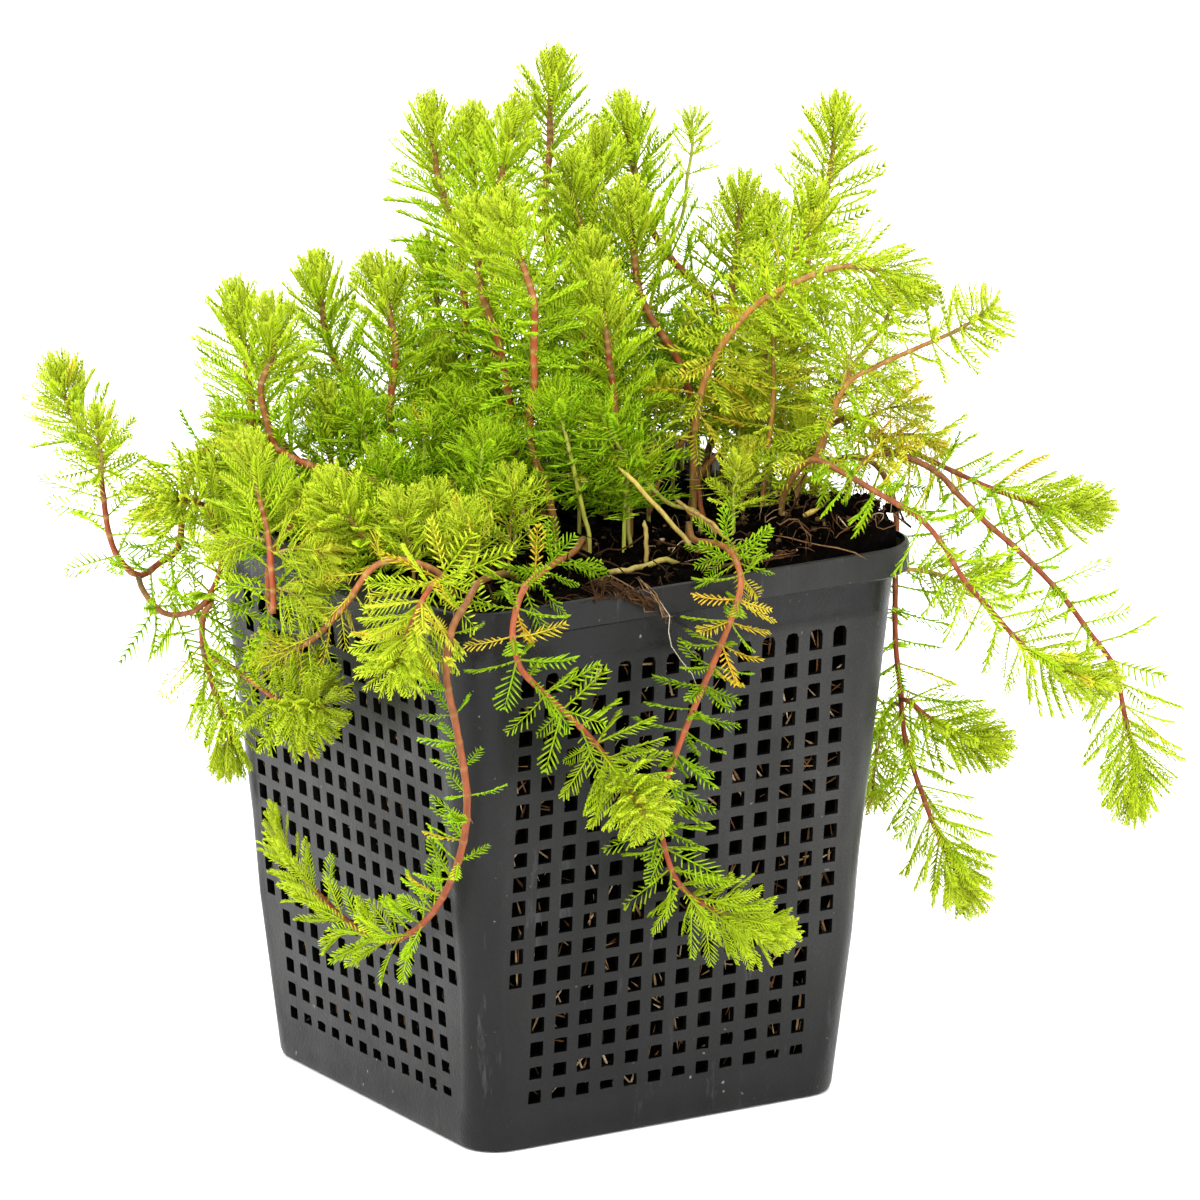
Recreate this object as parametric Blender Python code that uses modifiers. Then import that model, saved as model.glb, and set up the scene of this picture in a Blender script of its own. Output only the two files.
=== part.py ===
"""Parrot's feather, a bog plant, growing in a square mesh pond basket.

The plant is a clump of slim red stems set with whorls of feathery leaves.  Most shoots
stand up from the soil, the outer ones arch over the rim and trail down the basket.
Blender 4.5, metres, +Z up, origin at the middle of the basket's base.
"""
import math

import bmesh
import bpy
import numpy as np
from mathutils import Vector
from mathutils.bvhtree import BVHTree

MM = 0.001

# Basket, in mm.  Half widths are measured from the middle to a flat side.
BASKET_HEIGHT = 116.5
RIM_HALF = 55.0
RIM_BAND = 6.2
BODY_HALF_TOP = 51.8
BODY_HALF_BASE = 43.1
BASE_EDGE = 1.5
CORNER_RADIUS = 8.0
WALL = 1.2
CORNER_STEPS = 5

# Soil, in mm.
TOUCH_GAP = 0.3
SOIL_LEVEL = 113.5
SOIL_MOUND = (44.0, -42.0, 16.0, 9.0)     # middle x, middle y, spread, height
SOIL_RINGS = (0.86, 0.66, 0.42, 0.18)
SOIL_EDGE_DROP = 1.5                      # how far the soil sinks at the basket's wall

# Shoots, in mm.
STEM_SIDES = 5
STEM_RADIUS_BASE = 1.1
STEM_RADIUS_TIP = 0.75
TIP_TAPER = 0.45
ROUTE_STEP = 1.5
ROUTE_SAMPLES = 16                        # samples of the curve between two route points
BARE_PITCH = 9.0
LEAF_PITCH = 10.0
CROWN_PITCH = 4.6
CROWN_WHORLS = 3
LEAF_LENGTH = 12.5
CROWN_LEAF_LENGTH = 8.5
LEAF_RISE = 30.0                          # degrees forward of square to the stem
CROWN_LEAF_RISE = 58.0
YOUNG_STRETCH = 30.0                      # stretch below the tip where leaves grow shorter
WHORL_TWIST = 27.0                        # degrees turned from one whorl to the next
LEAF_CLEARANCE = 0.9
OWN_STEM_WINDOW = 12.5                    # stretch of its own stem that a leaf may be near
SOIL_CLEARANCE = 1.5
FOOT_RISE = 4.0                           # height over which a rooted stem stands straight
SHORTEST_LEAF = 0.12                      # of the full length, where a whorl is hemmed in
LEAF_TRIES = 24
LEAF_PROBES = (0.3, 0.55, 0.8, 1.0)       # places along a leaf that are tested
BEND_ALLOWANCE = 0.85                     # how near a leaf inside a bend may come to its stem

# The clump is laid out along its own diagonal: a point is (across, height, near), in mm.
# "across" runs to the right of the clump's front and "near" runs out to its front.
LAYOUT_TURN = math.radians(-31.1)
ACROSS = np.array([math.cos(LAYOUT_TURN), math.sin(LAYOUT_TURN), 0.0])
NEAR = np.array([math.sin(LAYOUT_TURN), -math.cos(LAYOUT_TURN), 0.0])

# Each shoot: how much of the stem is bare at its foot, then its route.  A route whose first
# point is a pair (across, near) is rooted in the soil there; the others branch off a stem.
SHOOTS = {
    "left_arching_shoot": (0.30, [
        (-48, -22), (-53, 123, -24), (-58, 130, -22), (-62, 132, -19), (-67, 130, -14),
        (-72, 126, -11), (-75, 118, -8), (-76, 109, -6), (-80, 106, -4), (-84, 104, -2),
        (-88, 108, -1), (-90, 114, 0), (-91, 123, 2), (-92, 131, 3), (-95, 136, 4),
        (-98, 142, 5), (-99, 149, 6)]),
    "left_side_sprig": (0.0, [(-91, 128, 7), (-91, 134, 11), (-92, 141, 13)]),
    "left_loop_shoot": (0.10, [
        (-83, 102, 2), (-80, 99, 5), (-77, 98, 6), (-72, 100, 9), (-69, 104, 10),
        (-67, 110, 11), (-68, 116, 11), (-69, 121, 10), (-73, 124, 10), (-79, 125, 8)]),
    "left_hanging_shoot": (0.10, [
        (-69, 101, 5), (-71, 96, 2), (-71, 89, 0), (-69, 81, 0), (-66, 74, 2), (-66, 66, 3)]),
    "left_tuft_shoot": (0.20, [
        (-70, 89, 4), (-64, 87, 8), (-60, 87, 18), (-54, 86, 28), (-46, 88, 38)]),
    "left_curl_shoot": (0.35, [
        (-32, 28), (-38, 122, 26), (-45, 125, 24), (-51, 123, 24), (-54, 116, 25),
        (-55, 108, 29), (-56, 107, 35), (-56, 114, 39), (-57, 123, 36), (-59, 130, 29),
        (-61, 138, 25)]),
    "left_corner_shoot": (0.10, [
        (-58, -14), (-59, 123, -15), (-61, 133, -16), (-62, 142, -16), (-63, 150, -17),
        (-64, 158, -18)]),
    "left_red_shoot": (0.20, [
        (-29, 8), (-33, 123, 8), (-37, 127, 8), (-44, 128, 7), (-51, 130, 6), (-56, 133, 5),
        (-58, 139, 4), (-59, 145, 4), (-57, 150, 3), (-56, 155, 3), (-57, 160, 2)]),
    "left_upright_shoot_1": (0.15, [
        (-34, -16), (-36, 126, -17), (-39, 137, -18), (-43, 142, -18), (-46, 149, -19),
        (-47, 155, -19), (-48, 163, -20)]),
    "left_upright_shoot_2": (0.15, [
        (-30, -5), (-31, 125, -5), (-33, 132, -5), (-33, 140, -6), (-32, 150, -7),
        (-33, 156, -7), (-34, 162, -8), (-36, 166, -8)]),
    "left_upright_shoot_3": (0.15, [
        (-22, -36), (-22, 127, -37), (-23, 142, -38), (-24, 152, -38), (-26, 162, -39)]),
    "left_short_shoot_1": (0.10, [(-25, 12), (-26, 124, 12), (-26, 132, 12), (-26, 140, 12)]),
    "left_short_shoot_2": (0.10, [(-18, 26), (-17, 124, 26), (-15, 132, 26), (-14, 140, 26)]),
    "left_short_shoot_3": (0.10, [(-44, -4), (-45, 125, -3), (-45, 133, -3), (-46, 141, -2)]),
    "left_short_shoot_4": (0.10, [(-34, 35), (-37, 122, 37), (-41, 128, 40), (-44, 135, 41)]),
    "left_short_shoot_5": (0.10, [
        (-22, -19), (-22, 127, -18), (-23, 138, -17), (-24, 147, -17)]),
    "yellow_drooping_shoot": (0.30, [
        (-22, 48), (-30, 122, 51), (-36, 120, 50), (-41, 112, 46), (-47, 103, 38),
        (-52, 98, 32), (-58, 95, 27)]),
    "corner_drooping_shoot": (0.30, [
        (-20, 57), (-22, 122, 65), (-25, 121, 72), (-28, 115, 74), (-30, 109, 71),
        (-35, 107, 66)]),
    "left_curled_trailer": (0.20, [
        (-8, 50), (-14, 122, 66), (-17, 120, 75), (-20, 115, 78), (-21, 106, 79),
        (-19, 95, 79), (-17, 80, 78), (-19, 66, 74), (-25, 52, 65), (-33, 44, 54),
        (-41, 44, 42), (-49, 49, 32), (-54, 54, 24), (-56, 60, 20)]),
    "middle_shoot_1": (0.20, [
        (-17, -24), (-17, 131, -25), (-18, 149, -25), (-19, 165, -26), (-22, 175, -27),
        (-24, 183, -27), (-25, 194, -28)]),
    "middle_shoot_2": (0.20, [
        (-15, -44), (-14, 130, -44), (-14, 150, -45), (-16, 167, -46), (-17, 187, -48)]),
    "middle_shoot_3": (0.20, [
        (-10, -15), (-10, 129, -14), (-12, 146, -14), (-12, 163, -14), (-12, 177, -15),
        (-10, 187, -15), (-8, 196, -16)]),
    "middle_shoot_4": (0.15, [
        (-7, -2), (-8, 128, -1), (-9, 141, 0), (-11, 153, 1), (-13, 159, 1), (-15, 166, 2),
        (-15, 172, 2), (-16, 180, 3)]),
    "middle_red_shoot": (0.20, [
        (0, 11), (-2, 128, 13), (-4, 133, 14), (-5, 141, 14), (-4, 147, 15), (-4, 157, 16),
        (-4, 166, 17), (-6, 173, 17), (-8, 179, 18), (-10, 186, 18)]),
    "tallest_shoot": (0.25, [
        (0, -46), (0, 121, -46), (0, 137, -48), (-1, 154, -49), (-2, 170, -50),
        (-1, 181, -51), (-1, 190, -51), (0, 198, -52)]),
    "middle_shoot_5": (0.15, [
        (5, -22), (7, 125, -22), (8, 139, -23), (7, 156, -24), (6, 168, -25), (4, 175, -26),
        (4, 183, -26)]),
    "middle_shoot_6": (0.15, [
        (11, -36), (10, 127, -37), (9, 144, -38), (8, 158, -39), (8, 171, -39),
        (9, 185, -40)]),
    "middle_shoot_7": (0.10, [
        (10, -13), (9, 126, -11), (7, 139, -10), (6, 152, -9), (7, 162, -9), (7, 171, -8)]),
    "middle_shoot_8": (0.10, [
        (15, 4), (13, 128, 5), (12, 143, 6), (11, 152, 7), (10, 160, 7), (9, 168, 8)]),
    "middle_shoot_9": (0.10, [
        (29, -20), (29, 121, -20), (28, 134, -20), (25, 144, -21), (20, 152, -21),
        (17, 159, -21), (16, 167, -22), (15, 178, -22)]),
    "middle_shoot_10": (0.10, [
        (31, -40), (33, 125, -43), (33, 142, -46), (32, 150, -47), (29, 153, -47),
        (24, 158, -48), (20, 164, -48), (18, 169, -49), (16, 178, -49), (14, 189, -50)]),
    "pale_thin_shoot": (0.10, [
        (19, -55), (19, 127, -55), (19, 143, -56), (22, 156, -57), (26, 165, -57),
        (27, 173, -57), (28, 179, -58), (28, 186, -58)]),
    "front_short_shoot_1": (0.30, [
        (7, 17), (6, 122, 18), (4, 132, 20), (2, 141, 21), (0, 148, 22)]),
    "front_short_shoot_2": (0.30, [
        (29, 8), (23, 123, 12), (17, 130, 15), (12, 138, 18), (9, 144, 20)]),
    "front_sprig": (0.20, [(36, 15), (36, 125, 16), (37, 134, 18)]),
    "right_upright_shoot_1": (0.20, [
        (43, -20), (46, 130, -25), (49, 147, -27), (51, 161, -28), (54, 173, -29),
        (56, 183, -29), (57, 194, -30)]),
    "right_upright_shoot_2": (0.10, [
        (34, -31), (35, 128, -33), (36, 143, -34), (36, 155, -35), (37, 165, -35),
        (38, 176, -36)]),
    "right_upright_shoot_3": (0.10, [
        (39, -28), (41, 132, -36), (42, 145, -42), (43, 157, -44), (43, 169, -46)]),
    "right_upright_shoot_4": (0.20, [
        (40, -12), (41, 128, -11), (42, 143, -11), (44, 156, -10), (47, 167, -10),
        (51, 174, -10), (52, 181, -10)]),
    "right_arching_shoot": (0.25, [
        (28, -3), (28, 128, -2), (29, 141, 1), (32, 150, 2), (36, 157, 4), (41, 163, 6),
        (47, 167, 8), (55, 171, 10), (61, 172, 12), (67, 171, 14), (73, 168, 16)]),
    "right_short_shoot_1": (0.15, [
        (52, 0), (55, 135, 0), (58, 143, -1), (60, 148, -1), (64, 153, -2), (67, 158, -2),
        (69, 165, -4)]),
    "right_short_shoot_2": (0.15, [
        (42, 1), (43, 131, 0), (44, 141, 0), (44, 150, 0), (44, 160, 0)]),
    "right_open_shoot": (0.15, [
        (49, 8), (53, 134, 12), (58, 148, 16), (65, 153, 17), (73, 157, 18), (81, 161, 19),
        (88, 166, 20)]),
    "right_trailer_1": (0.25, [
        (50, -8), (55, 132, -12), (62, 134, -13), (67, 130, -13), (73, 127, -12),
        (81, 123, -12), (88, 120, -11), (96, 117, -11), (102, 116, -10), (110, 116, -10)]),
    "right_trailer_2": (0.15, [
        (59, 10), (63, 130, 4), (69, 130, 0), (77, 126, -1), (81, 122, 0), (87, 116, 1),
        (94, 110, 2), (102, 102, 4), (108, 94, 5), (113, 87, 6), (115, 78, 8),
        (117, 69, 9), (117, 59, 10)]),
    "right_trailer_3": (0.20, [
        (46, 14), (51, 134, 20), (57, 133, 24), (65, 129, 27), (73, 124, 27), (78, 118, 27),
        (82, 111, 26), (88, 104, 26), (94, 97, 25), (101, 92, 24), (110, 89, 24)]),
    "right_hanging_shoot": (0.25, [
        (53, -3), (58, 127, -8), (65, 124, -14), (69, 115, -14), (69, 102, -9),
        (69, 90, -5), (70, 80, -3), (71, 70, -2), (74, 60, 0), (78, 50, 2), (84, 38, 4)]),
    "right_back_sprig": (0.10, [
        (73, 103, -10), (77, 102, -11), (83, 100, -12), (91, 101, -14)]),
    "right_side_shoot": (0.10, [(72, 78, 0), (76, 75, 2), (81, 73, 5), (89, 71, 8)]),
    "right_low_sprig": (0.10, [
        (69, 76, -6), (67, 72, -11), (66, 66, -15), (65, 58, -18), (65, 52, -19)]),
    "front_trailer_1": (0.20, [
        (6, 22), (4, 119, 34), (1, 121, 48), (-3, 122, 62), (-6, 121, 70), (-8, 115, 76),
        (-7, 108, 75), (-5, 104, 73), (1, 97, 69), (7, 90, 66), (12, 83, 65), (18, 78, 75)]),
    "front_trailer_2": (0.20, [
        (27, 14), (29, 122, 30), (33, 125, 46), (36, 118, 52), (33, 104, 51), (28, 92, 52),
        (24, 82, 54), (21, 72, 55), (23, 60, 54), (27, 53, 52), (34, 48, 49), (42, 43, 46),
        (51, 43, 43)]),
    "back_trailer_1": (0.25, [
        (-15, -36), (-24, 122, -46), (-31, 118, -52), (-32, 104, -53), (-31, 90, -52),
        (-33, 78, -55), (-38, 70, -62)]),
    "back_trailer_2": (0.25, [
        (36, -20), (46, 123, -29), (53, 118, -32), (53, 104, -32), (51, 92, -31),
        (52, 80, -34), (56, 70, -41)]),
}

PLASTIC = ("black_plastic", (0.030, 0.031, 0.033, 1.0), 0.42)
PEAT = ("dark_peat", (0.055, 0.036, 0.024, 1.0), 0.95)
LEAFY = ("feather_leaf_green", (0.24, 0.46, 0.035, 1.0), 0.55)


def clear_scene():
    for old in list(bpy.data.objects):
        bpy.data.objects.remove(old, do_unlink=True)


def make_material(name, colour, roughness):
    """A plain Principled material for one piece."""
    material = bpy.data.materials.new(name)
    material.use_nodes = True
    shader = material.node_tree.nodes["Principled BSDF"]
    shader.inputs["Base Color"].default_value = colour
    shader.inputs["Roughness"].default_value = roughness
    shader.inputs["Metallic"].default_value = 0.0
    return material


def add_piece(name, bm, collection, finish, smooth_angle=35.0):
    """Turn a bmesh into the named object with its own material."""
    mesh = bpy.data.meshes.new(name)
    bm.to_mesh(mesh)
    bm.free()
    material_name, colour, roughness = finish
    mesh.materials.append(make_material(f"{name}_{material_name}", colour, roughness))
    mesh.shade_smooth()
    mesh.set_sharp_from_angle(angle=math.radians(smooth_angle))
    piece = bpy.data.objects.new(name, mesh)
    collection.objects.link(piece)
    return piece


# Basket and soil


def body_half(height):
    """Half width of the basket's tapered body at a height."""
    share = (height - BASE_EDGE) / (BASKET_HEIGHT - RIM_BAND - BASE_EDGE)
    return BODY_HALF_BASE + (BODY_HALF_TOP - BODY_HALF_BASE) * share


def rounded_square(half, radius):
    """Plan outline of a square with round corners, as (x, y) pairs."""
    outline = []
    for corner in range(4):
        middle_angle = math.radians(45 + 90 * corner)
        reach = (half - radius) * math.sqrt(2)
        middle = (reach * math.cos(middle_angle), reach * math.sin(middle_angle))
        for step in range(CORNER_STEPS + 1):
            angle = math.radians(90 * corner + 90 * step / CORNER_STEPS)
            outline.append((middle[0] + radius * math.cos(angle),
                            middle[1] + radius * math.sin(angle)))
    return outline


def add_ring(bm, points):
    return [bm.verts.new(Vector(point) * MM) for point in points]


def join_rings(bm, lower, upper):
    """Side faces between two rings with the same number of points, facing outward."""
    count = len(lower)
    return [bm.faces.new((lower[i], lower[(i + 1) % count], upper[(i + 1) % count], upper[i]))
            for i in range(count)]


def close_foot(bm, ring):
    bm.faces.new(ring[::-1])


def close_top(bm, ring):
    bm.faces.new(ring)


def build_basket(collection):
    """Square tapered basket with a stepped rim: an open skin thickened inward."""
    rim_foot = BASKET_HEIGHT - RIM_BAND
    profile = (
        (0.0, BODY_HALF_BASE - BASE_EDGE, CORNER_RADIUS - BASE_EDGE),
        (BASE_EDGE, BODY_HALF_BASE, CORNER_RADIUS),
        (rim_foot, BODY_HALF_TOP, CORNER_RADIUS),
        (rim_foot, RIM_HALF, CORNER_RADIUS + RIM_HALF - BODY_HALF_TOP),
        (BASKET_HEIGHT, RIM_HALF, CORNER_RADIUS + RIM_HALF - BODY_HALF_TOP),
    )
    bm = bmesh.new()
    rings = [add_ring(bm, [(x, y, height) for x, y in rounded_square(half, radius)])
             for height, half, radius in profile]
    for lower, upper in zip(rings, rings[1:]):
        join_rings(bm, lower, upper)
    close_foot(bm, rings[0])
    basket = add_piece("basket", bm, collection, PLASTIC)
    shell = basket.modifiers.new("wall", "SOLIDIFY")
    shell.thickness = WALL * MM
    shell.offset = -1.0
    shell.use_even_offset = True


def soil_height(x, y):
    """Top of the soil: level, slightly lumpy, mounded up in one corner."""
    middle_x, middle_y, spread, rise = SOIL_MOUND
    distance_squared = (x - middle_x) ** 2 + (y - middle_y) ** 2
    mound = rise * math.exp(-distance_squared / (2 * spread ** 2))
    lumps = 0.6 * math.sin(0.21 * x + 1.3) * math.cos(0.17 * y - 0.4)
    return SOIL_LEVEL + mound + lumps


def build_soil(collection):
    """The peat root ball that fills the basket up to its rim."""
    floor = WALL + TOUCH_GAP
    inset = WALL + 2 * TOUCH_GAP
    top_half = body_half(BASKET_HEIGHT - RIM_BAND) - inset
    top_radius = CORNER_RADIUS - inset
    bm = bmesh.new()
    bottom = [(x, y, floor) for x, y in
              rounded_square(BODY_HALF_BASE - BASE_EDGE - inset, top_radius - BASE_EDGE)]
    side = [(x, y, BASKET_HEIGHT - RIM_BAND) for x, y in rounded_square(top_half, top_radius)]
    edge = [(x, y, soil_height(x, y) - SOIL_EDGE_DROP) for x, y, _ in side]
    rings = [add_ring(bm, points) for points in (bottom, side, edge)]
    for share in SOIL_RINGS:
        outline = rounded_square(top_half * share, top_radius * share)
        rings.append(add_ring(bm, [(x, y, soil_height(x, y)) for x, y in outline]))
    for lower, upper in zip(rings, rings[1:]):
        join_rings(bm, lower, upper)
    close_foot(bm, rings[0])
    close_top(bm, rings[-1])
    soil_top = BVHTree.FromBMesh(bm)
    add_piece("soil", bm, collection, PEAT)
    return soil_top


# Shoots


def stem_points(route, soil_top):
    """Route of a shoot in basket axes; a rooted one starts upright, just above the soil."""
    points = []
    for place in route:
        if len(place) == 2:
            ground = place[0] * ACROSS + place[1] * NEAR
            above = Vector((ground[0], ground[1], 2 * BASKET_HEIGHT)) * MM
            hit = soil_top.ray_cast(above, Vector((0, 0, -1)))[0]
            foot = ground + np.array((0, 0, hit.z / MM + 2 * TOUCH_GAP))
            points += [foot, foot + np.array((0, 0, FOOT_RISE))]
        else:
            points.append(place[0] * ACROSS + place[2] * NEAR + np.array((0, 0, place[1])))
    return np.array(points, dtype=float)


def smooth_route(points):
    """Even points along a Catmull-Rom curve through the route's own points."""
    ends = np.vstack((2 * points[0] - points[1], points, 2 * points[-1] - points[-2]))
    fine = []
    for before, start, end, after in zip(ends, ends[1:], ends[2:], ends[3:]):
        for t in np.linspace(0, 1, ROUTE_SAMPLES, endpoint=False):
            fine.append(0.5 * (2 * start + (end - before) * t
                               + (2 * before - 5 * start + 4 * end - after) * t ** 2
                               + (3 * start - before - 3 * end + after) * t ** 3))
    fine.append(points[-1])
    fine = np.array(fine)
    travelled = np.concatenate(([0], np.cumsum(np.linalg.norm(np.diff(fine, axis=0), axis=1))))
    count = max(4, round(travelled[-1] / ROUTE_STEP))
    even = np.linspace(0, travelled[-1], count + 1)
    return np.column_stack([np.interp(even, travelled, fine[:, axis]) for axis in range(3)])


def carried_frames(line):
    """Tangent and two side directions at every point, carried along without twisting."""
    tangents = np.gradient(line, axis=0)
    tangents /= np.linalg.norm(tangents, axis=1)[:, None]
    side = np.cross(tangents[0], NEAR)
    frames = []
    for tangent in tangents:
        side = side - tangent * side.dot(tangent)
        side /= np.linalg.norm(side)
        frames.append((tangent, side, np.cross(tangent, side)))
    return frames


def whorl_places(length, bare_share):
    """Distances along the stem of its section rings, and how many at the foot are bare."""
    crown_start = length - CROWN_PITCH * CROWN_WHORLS
    bare_end = min(max(length * bare_share, FOOT_RISE), crown_start)
    bare_count = math.ceil((bare_end - FOOT_RISE) / BARE_PITCH)
    leaf_count = round((crown_start - bare_end) / LEAF_PITCH)
    places = [0.0]
    places += list(np.linspace(FOOT_RISE, bare_end, bare_count, endpoint=False))
    places += list(np.linspace(bare_end, crown_start, leaf_count, endpoint=False))
    places += list(np.linspace(crown_start, length, CROWN_WHORLS + 1))
    return places, bare_count + 1


def inside_basket_or_soil(point):
    x, y, z = point
    spread = max(abs(x), abs(y))
    if spread < body_half(BASKET_HEIGHT) - WALL:
        return z < soil_height(x, y) + SOIL_CLEARANCE
    if z > BASKET_HEIGHT - RIM_BAND - 1.0:
        return z < BASKET_HEIGHT + 1.0 and spread < RIM_HALF + 1.0
    return spread < body_half(z) + 1.0


def leaf_tip(root, out, leaf, near_line, far_points):
    """Tip of a leaf, drawn in until it is nearer its own stem than any other stem.

    out is the leaf's reach square to the stem, and leaf its reach from root to tip.  Inside
    a bend, a tip that would come near the far side of its own stem is drawn in too.
    """
    for share in np.linspace(1.0, SHORTEST_LEAF, LEAF_TRIES):
        tip = root + leaf * share
        if any(inside_basket_or_soil(root + (tip - root) * probe) for probe in LEAF_PROBES):
            continue
        own = np.sqrt(((near_line - tip) ** 2).sum(axis=1).min())
        other = np.sqrt(((far_points - tip) ** 2).sum(axis=1).min())
        if own + LEAF_CLEARANCE <= other and own >= BEND_ALLOWANCE * out * share:
            break
    return tip


def build_shoot(name, bare_share, line, other_lines, collection):
    """One stem with its whorls: a loft from ring to ring whose sides are drawn out to leaves."""
    frames = carried_frames(line)
    length = np.linalg.norm(np.diff(line, axis=0), axis=1).sum()
    step = length / (len(line) - 1)
    places, bare_count = whorl_places(length, bare_share)
    bm = bmesh.new()
    rings = []
    for index, place in enumerate(places):
        spot = place / step
        centre = np.array([np.interp(spot, range(len(line)), line[:, axis]) for axis in range(3)])
        _, side, up = frames[min(round(spot), len(line) - 1)]
        share = place / length
        radius = STEM_RADIUS_BASE + (STEM_RADIUS_TIP - STEM_RADIUS_BASE) * share
        radius *= TIP_TAPER if place == places[-1] else 1.0
        turn = math.radians(WHORL_TWIST * index)
        angles = [turn + 2 * math.pi * k / STEM_SIDES for k in range(STEM_SIDES)]
        rings.append(add_ring(bm, [centre + radius * (math.cos(a) * side + math.sin(a) * up)
                                   for a in angles]))
    close_foot(bm, rings[0])
    close_top(bm, rings[-1])
    far_from_stem = np.vstack(other_lines)
    for index, (lower, upper) in enumerate(zip(rings, rings[1:])):
        sides = join_rings(bm, lower, upper)
        if index < bare_count:
            continue
        middle = 0.5 * (places[index] + places[index + 1])
        spot = round(middle / step)
        tangent = frames[min(spot, len(line) - 1)][0]
        crown_share = max(0.0, 1 - (length - middle) / YOUNG_STRETCH)
        reach = LEAF_LENGTH + (CROWN_LEAF_LENGTH - LEAF_LENGTH) * crown_share
        rise = math.radians(LEAF_RISE + (CROWN_LEAF_RISE - LEAF_RISE) * crown_share)
        window = round(OWN_STEM_WINDOW / step)
        near_line = line[max(spot - window, 0):spot + window]
        rest = np.vstack((line[:max(spot - window, 0)], line[spot + window:]))
        far_points = np.vstack((far_from_stem, rest)) if len(rest) else far_from_stem
        centre = sum((v.co for v in lower + upper), Vector()) / (2 * STEM_SIDES * MM)
        leaves = []
        for face in sides:
            root = np.array(face.calc_center_median() / MM)
            out = root - np.array(centre)
            out -= tangent * out.dot(tangent)
            out /= np.linalg.norm(out)
            leaf = reach * (math.cos(rise) * out + math.sin(rise) * tangent)
            leaves.append(leaf_tip(root, reach * math.cos(rise), leaf, near_line, far_points))
        poked = bmesh.ops.poke(bm, faces=sides)
        for tip, vert in zip(leaves, poked["verts"]):
            vert.co = Vector(tip) * MM
    add_piece(name, bm, collection, LEAFY, smooth_angle=20.0)


def build():
    clear_scene()
    collection = bpy.data.collections.new("parrots_feather_plant")
    bpy.context.scene.collection.children.link(collection)
    build_basket(collection)
    soil_top = build_soil(collection)
    lines = {name: smooth_route(stem_points(route, soil_top))
             for name, (_, route) in SHOOTS.items()}
    for name, (bare_share, _) in SHOOTS.items():
        others = [line for other, line in lines.items() if other != name]
        build_shoot(name, bare_share, lines[name], others, collection)


build()
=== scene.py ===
"""The looks of the parrot's feather plant in its pond basket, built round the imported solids.

Lengths are in millimetres until a mesh is made, in the solids' own frame.
"""

import math
from itertools import zip_longest

import bmesh
import bpy
import numpy as np
from mathutils import Matrix, Vector, noise


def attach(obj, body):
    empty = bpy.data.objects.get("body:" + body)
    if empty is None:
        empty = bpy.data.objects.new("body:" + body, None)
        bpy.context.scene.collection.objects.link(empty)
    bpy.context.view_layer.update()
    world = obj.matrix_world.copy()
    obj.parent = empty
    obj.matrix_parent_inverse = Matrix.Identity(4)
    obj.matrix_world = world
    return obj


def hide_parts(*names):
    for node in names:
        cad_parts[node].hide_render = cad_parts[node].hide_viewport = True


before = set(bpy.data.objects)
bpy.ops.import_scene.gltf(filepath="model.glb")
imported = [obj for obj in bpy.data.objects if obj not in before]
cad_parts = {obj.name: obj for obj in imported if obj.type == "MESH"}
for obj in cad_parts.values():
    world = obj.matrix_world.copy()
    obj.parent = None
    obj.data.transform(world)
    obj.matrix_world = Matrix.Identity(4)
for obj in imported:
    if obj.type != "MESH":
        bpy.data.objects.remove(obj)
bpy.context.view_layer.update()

MM = 0.001
TURN = 2 * math.pi

# Camera: a long lens a little above the rim, aimed past the basket's middle.
IMAGE_PX = 1200
FOCAL_PX = 14483
SENSOR = 36.0
CAMERA_AZIMUTH = math.radians(-31.1)
CAMERA_ELEVATION = math.radians(15.65)
CAMERA_DISTANCE = 2936.0
CAMERA_ASIDE = 9.19
CAMERA_LIFT = 38.0
CAMERA_AIM = np.array([0.0, 0.0, 60.0])

# Softboxes: place and width in metres, and power in watts.
LAMP_AIM = Vector((0.0, 0.0, 0.1))
LAMPS = (("key_softbox", (-1.7, -0.7, 1.5), 1.6, 28.0),
         ("front_softbox", (-0.6, -1.6, 1.6), 0.9, 16.0),
         ("fill_softbox", (1.4, -1.3, 1.2), 1.6, 6.0),
         ("back_softbox", (0.4, 1.4, 1.6), 1.4, 16.0))

# Basket, as in the solids.
BASKET_HEIGHT = 116.5
RIM_HALF = 55.0
RIM_BAND = 6.2
RIM_FOOT = BASKET_HEIGHT - RIM_BAND
BODY_HALF_TOP = 51.8
BODY_HALF_BASE = 43.1
BASE_EDGE = 1.5
CORNER_RADIUS = 8.0
CORNER_STEPS = 7
WALL = 1.2
SHARP_ANGLE = math.radians(40)

# The basket's mesh of holes.
HOLE_COLUMNS = 14
HOLE_ROWS = 18
HOLE_PITCH_ACROSS = 5.6
HOLE_PITCH_UP = 5.13
LOWEST_HOLE = 11.07
SHORT_COLUMN_ROWS = 5                     # rows that the two outer columns lack at the bottom
HOLE_WIDTH = 3.05
HOLE_HEIGHT = 3.2
TOP_HOLE_HEIGHT = 4.4
FIELD_RECESS = 0.35
FLUTE_FOOT = LOWEST_HOLE + (HOLE_ROWS - 0.5) * HOLE_PITCH_UP + TOP_HOLE_HEIGHT - HOLE_HEIGHT
FLUTE_DEPTH = 1.1
FLUTE_STEPS = (0.5, 1.0, 1.5, 2.6, 4.2)
CROOKED_ROWS = 2.2
# Grid points round a hole, across and up from its lower left one.
ROUND_A_HOLE = ((0, 0), (1, 0), (2, 0), (2, 1), (2, 2), (1, 2), (0, 2), (0, 1))

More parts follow.
